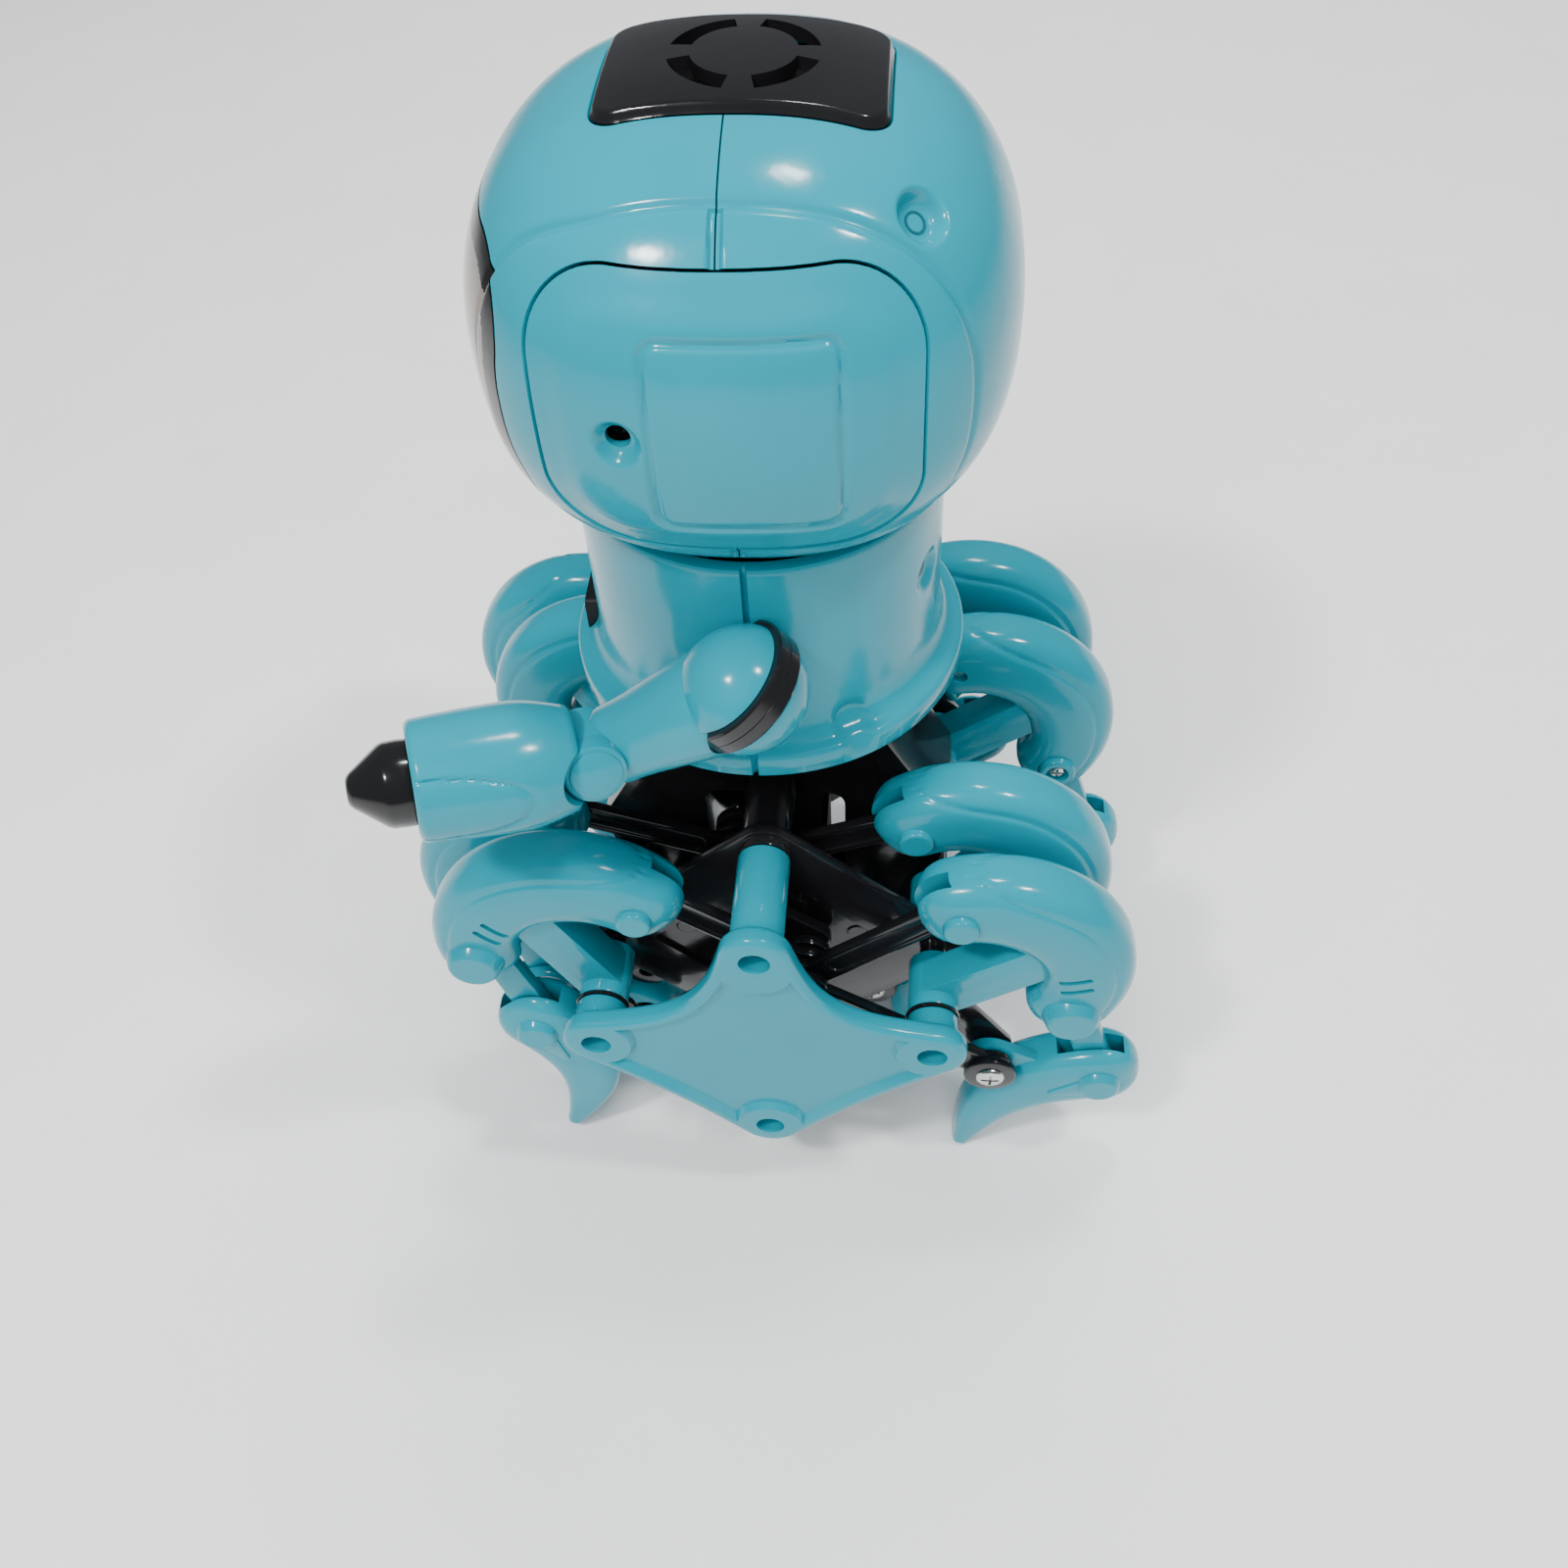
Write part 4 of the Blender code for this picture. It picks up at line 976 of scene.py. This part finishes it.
def torso_shell():
    """Tube with a flange at the foot, turned round Z and dented by torso_radius."""
    z = FLOOR_Z
    side = [(z, 8.0), (z, FLANGE_R - 0.4), (z + 0.4, FLANGE_R), (z + 3.8, FLANGE_R),
            (z + 4.3, FLANGE_R - 0.25), (z + 4.6, FLANGE_R - 0.8)]
    side += [(z + 4.6 + 6.2 * (1 - math.cos(a)) + 0.4 * a, TORSO_R + 3.4 * (1 - math.sin(a)) ** 1.3)
             for a in [math.pi / 2 * k / 10 for k in range(1, 11)]]
    side += [(z + 11.6 + (TORSO_TOP - z - 12.2) * k / 46, TORSO_R) for k in range(1, 47)]
    side += [(TORSO_TOP - 0.1, TORSO_R - 0.3), (TORSO_TOP, TORSO_R - 0.8), (TORSO_TOP, TORSO_BORE),
             (z + 2.2, TORSO_BORE)]
    bm = bmesh.new()
    n = 720
    rings = []
    for h, r in side:
        ring = []
        for k in range(n):
            a = 2 * math.pi * k / n
            rr = torso_radius(r, a, h) if r > TORSO_BORE + 0.2 else r
            ring.append(bm.verts.new((rr * math.cos(a), rr * math.sin(a), h)))
        rings.append(ring)
    for p, q in zip(rings, rings[1:]):
        for k in range(n):
            m = (k + 1) % n
            bm.faces.new((p[k], p[m], q[m], q[k]))
    place("torso_shell", "torso", TEAL, bm, angle=45, replaces=("torso_front", "torso_back"))


def torso():
    torso_shell()
    wells = []
    # Dark teal plugs in the first two wells: painted shade of the screw holes.
    for az, hh in TORSO_SCREWS[:2]:
        d = Vector((math.cos(math.radians(az)), math.sin(math.radians(az)), 0))
        base = d * (TORSO_R - 2.6) + Vector((0, 0, hh))
        wells.append(turned([(0, 0), (0, 1.5), (1.32, 1.5)], base, base + d, 32))
    place("torso_screw_well_shade", "torso", TEAL_PAINTED_SHADE, merge(*wells))
    slit = prism([rounded_rect((0, 113.0), 9, 7.0, 1.0)], -31.0, -29.0, "Y")
    place("torso_front_slit", "torso", BLACK_DULL, slit)


# ---------------------------------------------------------------- arms
def limb_mesh(a, b, ra, rb, n=48, m=24):
    """Tapered limb with domed ends and a soft waist."""
    length = (b - a).length
    prof = []
    for i in range(8):
        t = math.pi / 2 * i / 8
        prof.append((-ra * math.cos(t) * 0.9, ra * math.sin(t)))
    for i in range(m + 1):
        t = i / m
        prof.append((length * t, ra + (rb - ra) * smooth(t)))
    for i in range(1, 9):
        t = math.pi / 2 * i / 8
        prof.append((length + rb * math.sin(t) * 0.6, rb * math.cos(t)))
    return turned(prof, a, b, n)


def flat_tool():
    """Cutter for the flat on the shoulder's inner side."""
    return turned([(8.0, 0), (8.0, 14), (20, 14), (20, 0)], SHOULDER, SHOULDER + INWARD)


def shoulder_ball():
    """Ball with a groove for the band, over a smaller core that fills the groove's floor."""
    c = SHOULDER + BAND_AXIS * BAND_SHIFT
    arc = [math.pi * i / 40 for i in range(41)]
    ball = turned([(-BALL_R * math.cos(t), BALL_R * math.sin(t)) for t in arc], SHOULDER,
                  SHOULDER + BAND_AXIS, 64)
    ball = carve(ball, flat_tool())
    groove = turned([(-2.4, 0), (-2.4, BALL_R + 3), (2.4, BALL_R + 3), (2.4, 0)], c,
                    c + BAND_AXIS, 64)
    core = turned([(-BALL_R * 0.9 * math.cos(t), BALL_R * 0.9 * math.sin(t)) for t in arc],
                  SHOULDER, SHOULDER + BAND_AXIS, 48)
    return merge(carve(ball, groove), carve(core, flat_tool()))


def shoulder_strap():
    """Black band in the groove with a fine line round its middle, open towards the back."""
    c = SHOULDER + BAND_AXIS * BAND_SHIFT
    top = BALL_R + 0.5
    prof = [(-2.3, 8.0), (-2.3, BALL_R + 0.2), (-1.9, top), (-0.1, top), (0.0, BALL_R + 0.4),
            (0.1, top), (1.9, top), (2.3, BALL_R + 0.2), (2.3, 8.0)]
    behind = prism([[(-4.5, 100), (-40, 100), (-40, 160), (-4.5, 160)]], 20, 60)
    return carve(turned(prof, c, c + BAND_AXIS, 72), behind, flat_tool())


def upper_limb():
    """Upper arm from the ball to the elbow, with the shaft into the body."""
    a = SHOULDER + Vector((-0.1, -3.4, -1.8))
    b = ELBOW - ELBOW_AXIS * 2.2 - FORE_DIR * 4.9
    root = turned([(0, 3.0), (13.5, 3.0)], SHOULDER, SHOULDER + INWARD, 32)
    return merge(limb_mesh(a, b, 8.3, 6.4), root)


def forearm_line(shell, start, length):
    """Press the curved line near the nozzle into the outer side of the forearm."""
    d, n = FORE_DIR, ELBOW_AXIS
    side_v = n.cross(d).normalized()
    for v in shell.verts:
        rel = v.co - start
        x = rel.dot(d)
        u, w = rel.dot(side_v), rel.dot(n)
        if math.hypot(u, w) > 8.5 and 1.5 < x < length - 0.8:
            ang = math.atan2(-u, w)
            q = math.hypot((x - length) / 17.0, (ang + 0.1) / 0.62)
            v.co -= (rel - d * x).normalized() * 0.45 * math.exp(-((q - 1) / 0.045) ** 2)


def forearm_shell():
    """Barrel of the forearm, cut out for the elbow."""
    d, n = FORE_DIR, ELBOW_AXIS
    start = ELBOW + d * 2.2
    length = FORE_L - 2.2
    prof = [(0, 0), (0, 7.4), (0.5, 8.1)]
    prof += [(0.5 + 9 * t, 8.1 + (FORE_R - 8.1) * math.sin(math.pi / 2 * t))
             for t in [k / 12 for k in range(1, 13)]]
    prof += [(9.5 + (length - 10.5) * k / 36, FORE_R - 0.6 * (k / 36) ** 2)
             for k in range(1, 37)]
    prof += [(length - 0.5, FORE_R - 0.8), (length - 0.15, FORE_R - 1.2), (length, 8.4),
             (length - 1.2, 8.0), (length - 1.2, 0)]
    shell = turned(prof, start, start + d, 160)
    socket = turned([(0, 0), (0, 5.4), (9.4, 5.4), (9.4, 0)], ELBOW - n * 6.9, ELBOW + n * 9, 56)
    inner = turned([(0, 0), (0, 9.5), (8, 9.5), (8, 0)], ELBOW - n * 6.8, ELBOW - n * 20, 56)
    outer = turned([(0, 0), (0, 5.3), (8, 5.3), (8, 0)], ELBOW + n * 2.2, ELBOW + n * 20, 56)
    shell = carve(shell, socket, inner, outer)
    forearm_line(shell, start, length)
    return shell


def arms():
    """Both arms, drawn as the left one and mirrored for the right."""
    barrel = [(0, 0), (0, 4.4), (0.5, 4.9), (8.6, 4.9), (9.0, 4.7), (9.0, 0)]
    hub = [(0, 0), (0, 4.9), (2.9, 4.9), (3.3, 4.75), (3.5, 4.4), (3.5, 4.1), (3.8, 4.0),
           (4.0, 3.7), (4.0, 0)]
    nose = [(-1.0, 0), (-1.0, 6.4), (1.2, 6.6), (3.4, 6.5), (4.2, 6.2), (8.6, 2.8), (9.2, 2.2),
            (9.4, 1.6), (9.4, 0)]
    n = ELBOW_AXIS
    tip = ELBOW + FORE_DIR * FORE_L
    for side, s in SIDES:
        mir = s < 0
        upper, fore = "upper_arm_" + side, "forearm_" + side
        place("shoulder_ball_" + side, upper, TEAL, shoulder_ball(), mirrored=mir,
              replaces=("shoulder_" + side,))
        place("shoulder_strap_" + side, upper, BLACK, shoulder_strap(), mirrored=mir,
              replaces=("shoulder_band_" + side,))
        place("upper_arm_limb_" + side, upper, TEAL, upper_limb(), mirrored=mir)
        place("elbow_barrel_" + side, upper, TEAL,
              turned(barrel, ELBOW - n * 6.6, ELBOW + n * 10, 48), mirrored=mir)
        place("elbow_cap_" + side, fore, TEAL,
              turned(hub, ELBOW + n * 2.5, ELBOW + n * 10, 56), mirrored=mir)
        place("forearm_shell_" + side, fore, TEAL, forearm_shell(), angle=40, mirrored=mir,
              replaces=("forearm_" + side,))
        place("nozzle_" + side, fore, BLACK, turned(nose, tip, tip + FORE_DIR, 64), mirrored=mir,
              replaces=("forearm_nozzle_" + side,))


# ---------------------------------------------------------------- stage
def carried_over():
    """Inner CAD pieces keep their shape and get a proper finish."""
    looks = {"walk_motor": BLACK_DULL, "waist_motor": BLACK_DULL, "speaker": BLACK_DULL,
             "circuit_board": BOARD, "battery_pack_left": CELL, "battery_pack_right": CELL}
    for node, mat in looks.items():
        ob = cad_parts[node]
        ob.data.materials.clear()
        ob.data.materials.append(mat)


def backdrop():
    """White floor."""
    bm = bmesh.new()
    bmesh.ops.create_grid(bm, x_segments=60, y_segments=60, size=1.6)
    mesh = bpy.data.meshes.new("floor")
    bm.to_mesh(mesh)
    bm.free()
    floor = bpy.data.objects.new("floor", mesh)
    bpy.context.scene.collection.objects.link(floor)
    mesh.materials.append(shader("floor_white", (0.88, 0.88, 0.88), 0.75, vary=0.015, grain=40.0,
                                 bump=0.02))


def lights():
    """Three small lamps that show in reflections, two large ones that don't, and a dim world."""
    world = bpy.data.worlds.new("studio")
    world.use_nodes = True
    sky = world.node_tree.nodes["Background"].inputs
    sky["Color"].default_value = (0.90, 0.95, 1.0, 1)
    sky["Strength"].default_value = 0.22
    bpy.context.scene.world = world
    target = Vector((0, 0, 0.11))
    for name, at, size, power, mirrored in (
            ("key", (0.45, -0.35, 0.95), (0.10, 0.08), 6.0, True),
            ("window", (0.15, 0.45, 1.0), (0.08, 0.08), 4.5, True),
            ("rear", (-0.2, 0.1, 1.1), (0.12, 0.08), 3.0, True),
            ("fill", (0.7, -0.1, 0.9), (0.9, 0.9), 11.0, False),
            ("back", (-0.7, 0.1, 0.9), (0.9, 0.9), 8.0, False)):
        light = bpy.data.lights.new(name, "AREA")
        light.shape, light.size, light.size_y, light.energy = "RECTANGLE", size[0], size[1], power
        ob = bpy.data.objects.new(name, light)
        ob.location = at
        ob.visible_glossy = mirrored
        ob.rotation_euler = (target - Vector(at)).to_track_quat("-Z", "Y").to_euler()
        bpy.context.scene.collection.objects.link(ob)


def camera():
    """Camera from the left side, a little behind and high up."""
    at = Vector((192.905, 22.221, 291.554)) * MM
    az, pitch, roll = (math.radians(v) for v in (6.885, 49.408, 3.746))
    fwd = Vector((-math.cos(az) * math.cos(pitch), -math.sin(az) * math.cos(pitch),
                  -math.sin(pitch)))
    right = Vector((-math.sin(az), math.cos(az), 0))
    down = fwd.cross(right)
    x = right * math.cos(roll) + down * math.sin(roll)
    y = -(-right * math.sin(roll) + down * math.cos(roll))
    cam = bpy.data.cameras.new("camera")
    cam.sensor_width, cam.lens = 36.0, 35.02575
    ob = bpy.data.objects.new("camera", cam)
    rot = Matrix((x, y, -fwd)).transposed()
    ob.matrix_world = Matrix.Translation(at) @ rot.to_4x4()
    bpy.context.scene.collection.objects.link(ob)
    bpy.context.scene.camera = ob


def legs():
    for side, _ in SIDES:
        for row in ("outer", "inner"):
            for end in ("front", "rear"):
                thigh(side, row, end)
                foot(side, row, end)
                rods(side, row, end)
                pivot_link(side, row, end)


camera()
backdrop()
lights()
carried_over()
chassis_body()
deck_bosses()
pivot_washers()
crankshaft()
side_covers()
legs()
torso()
head()
arms()
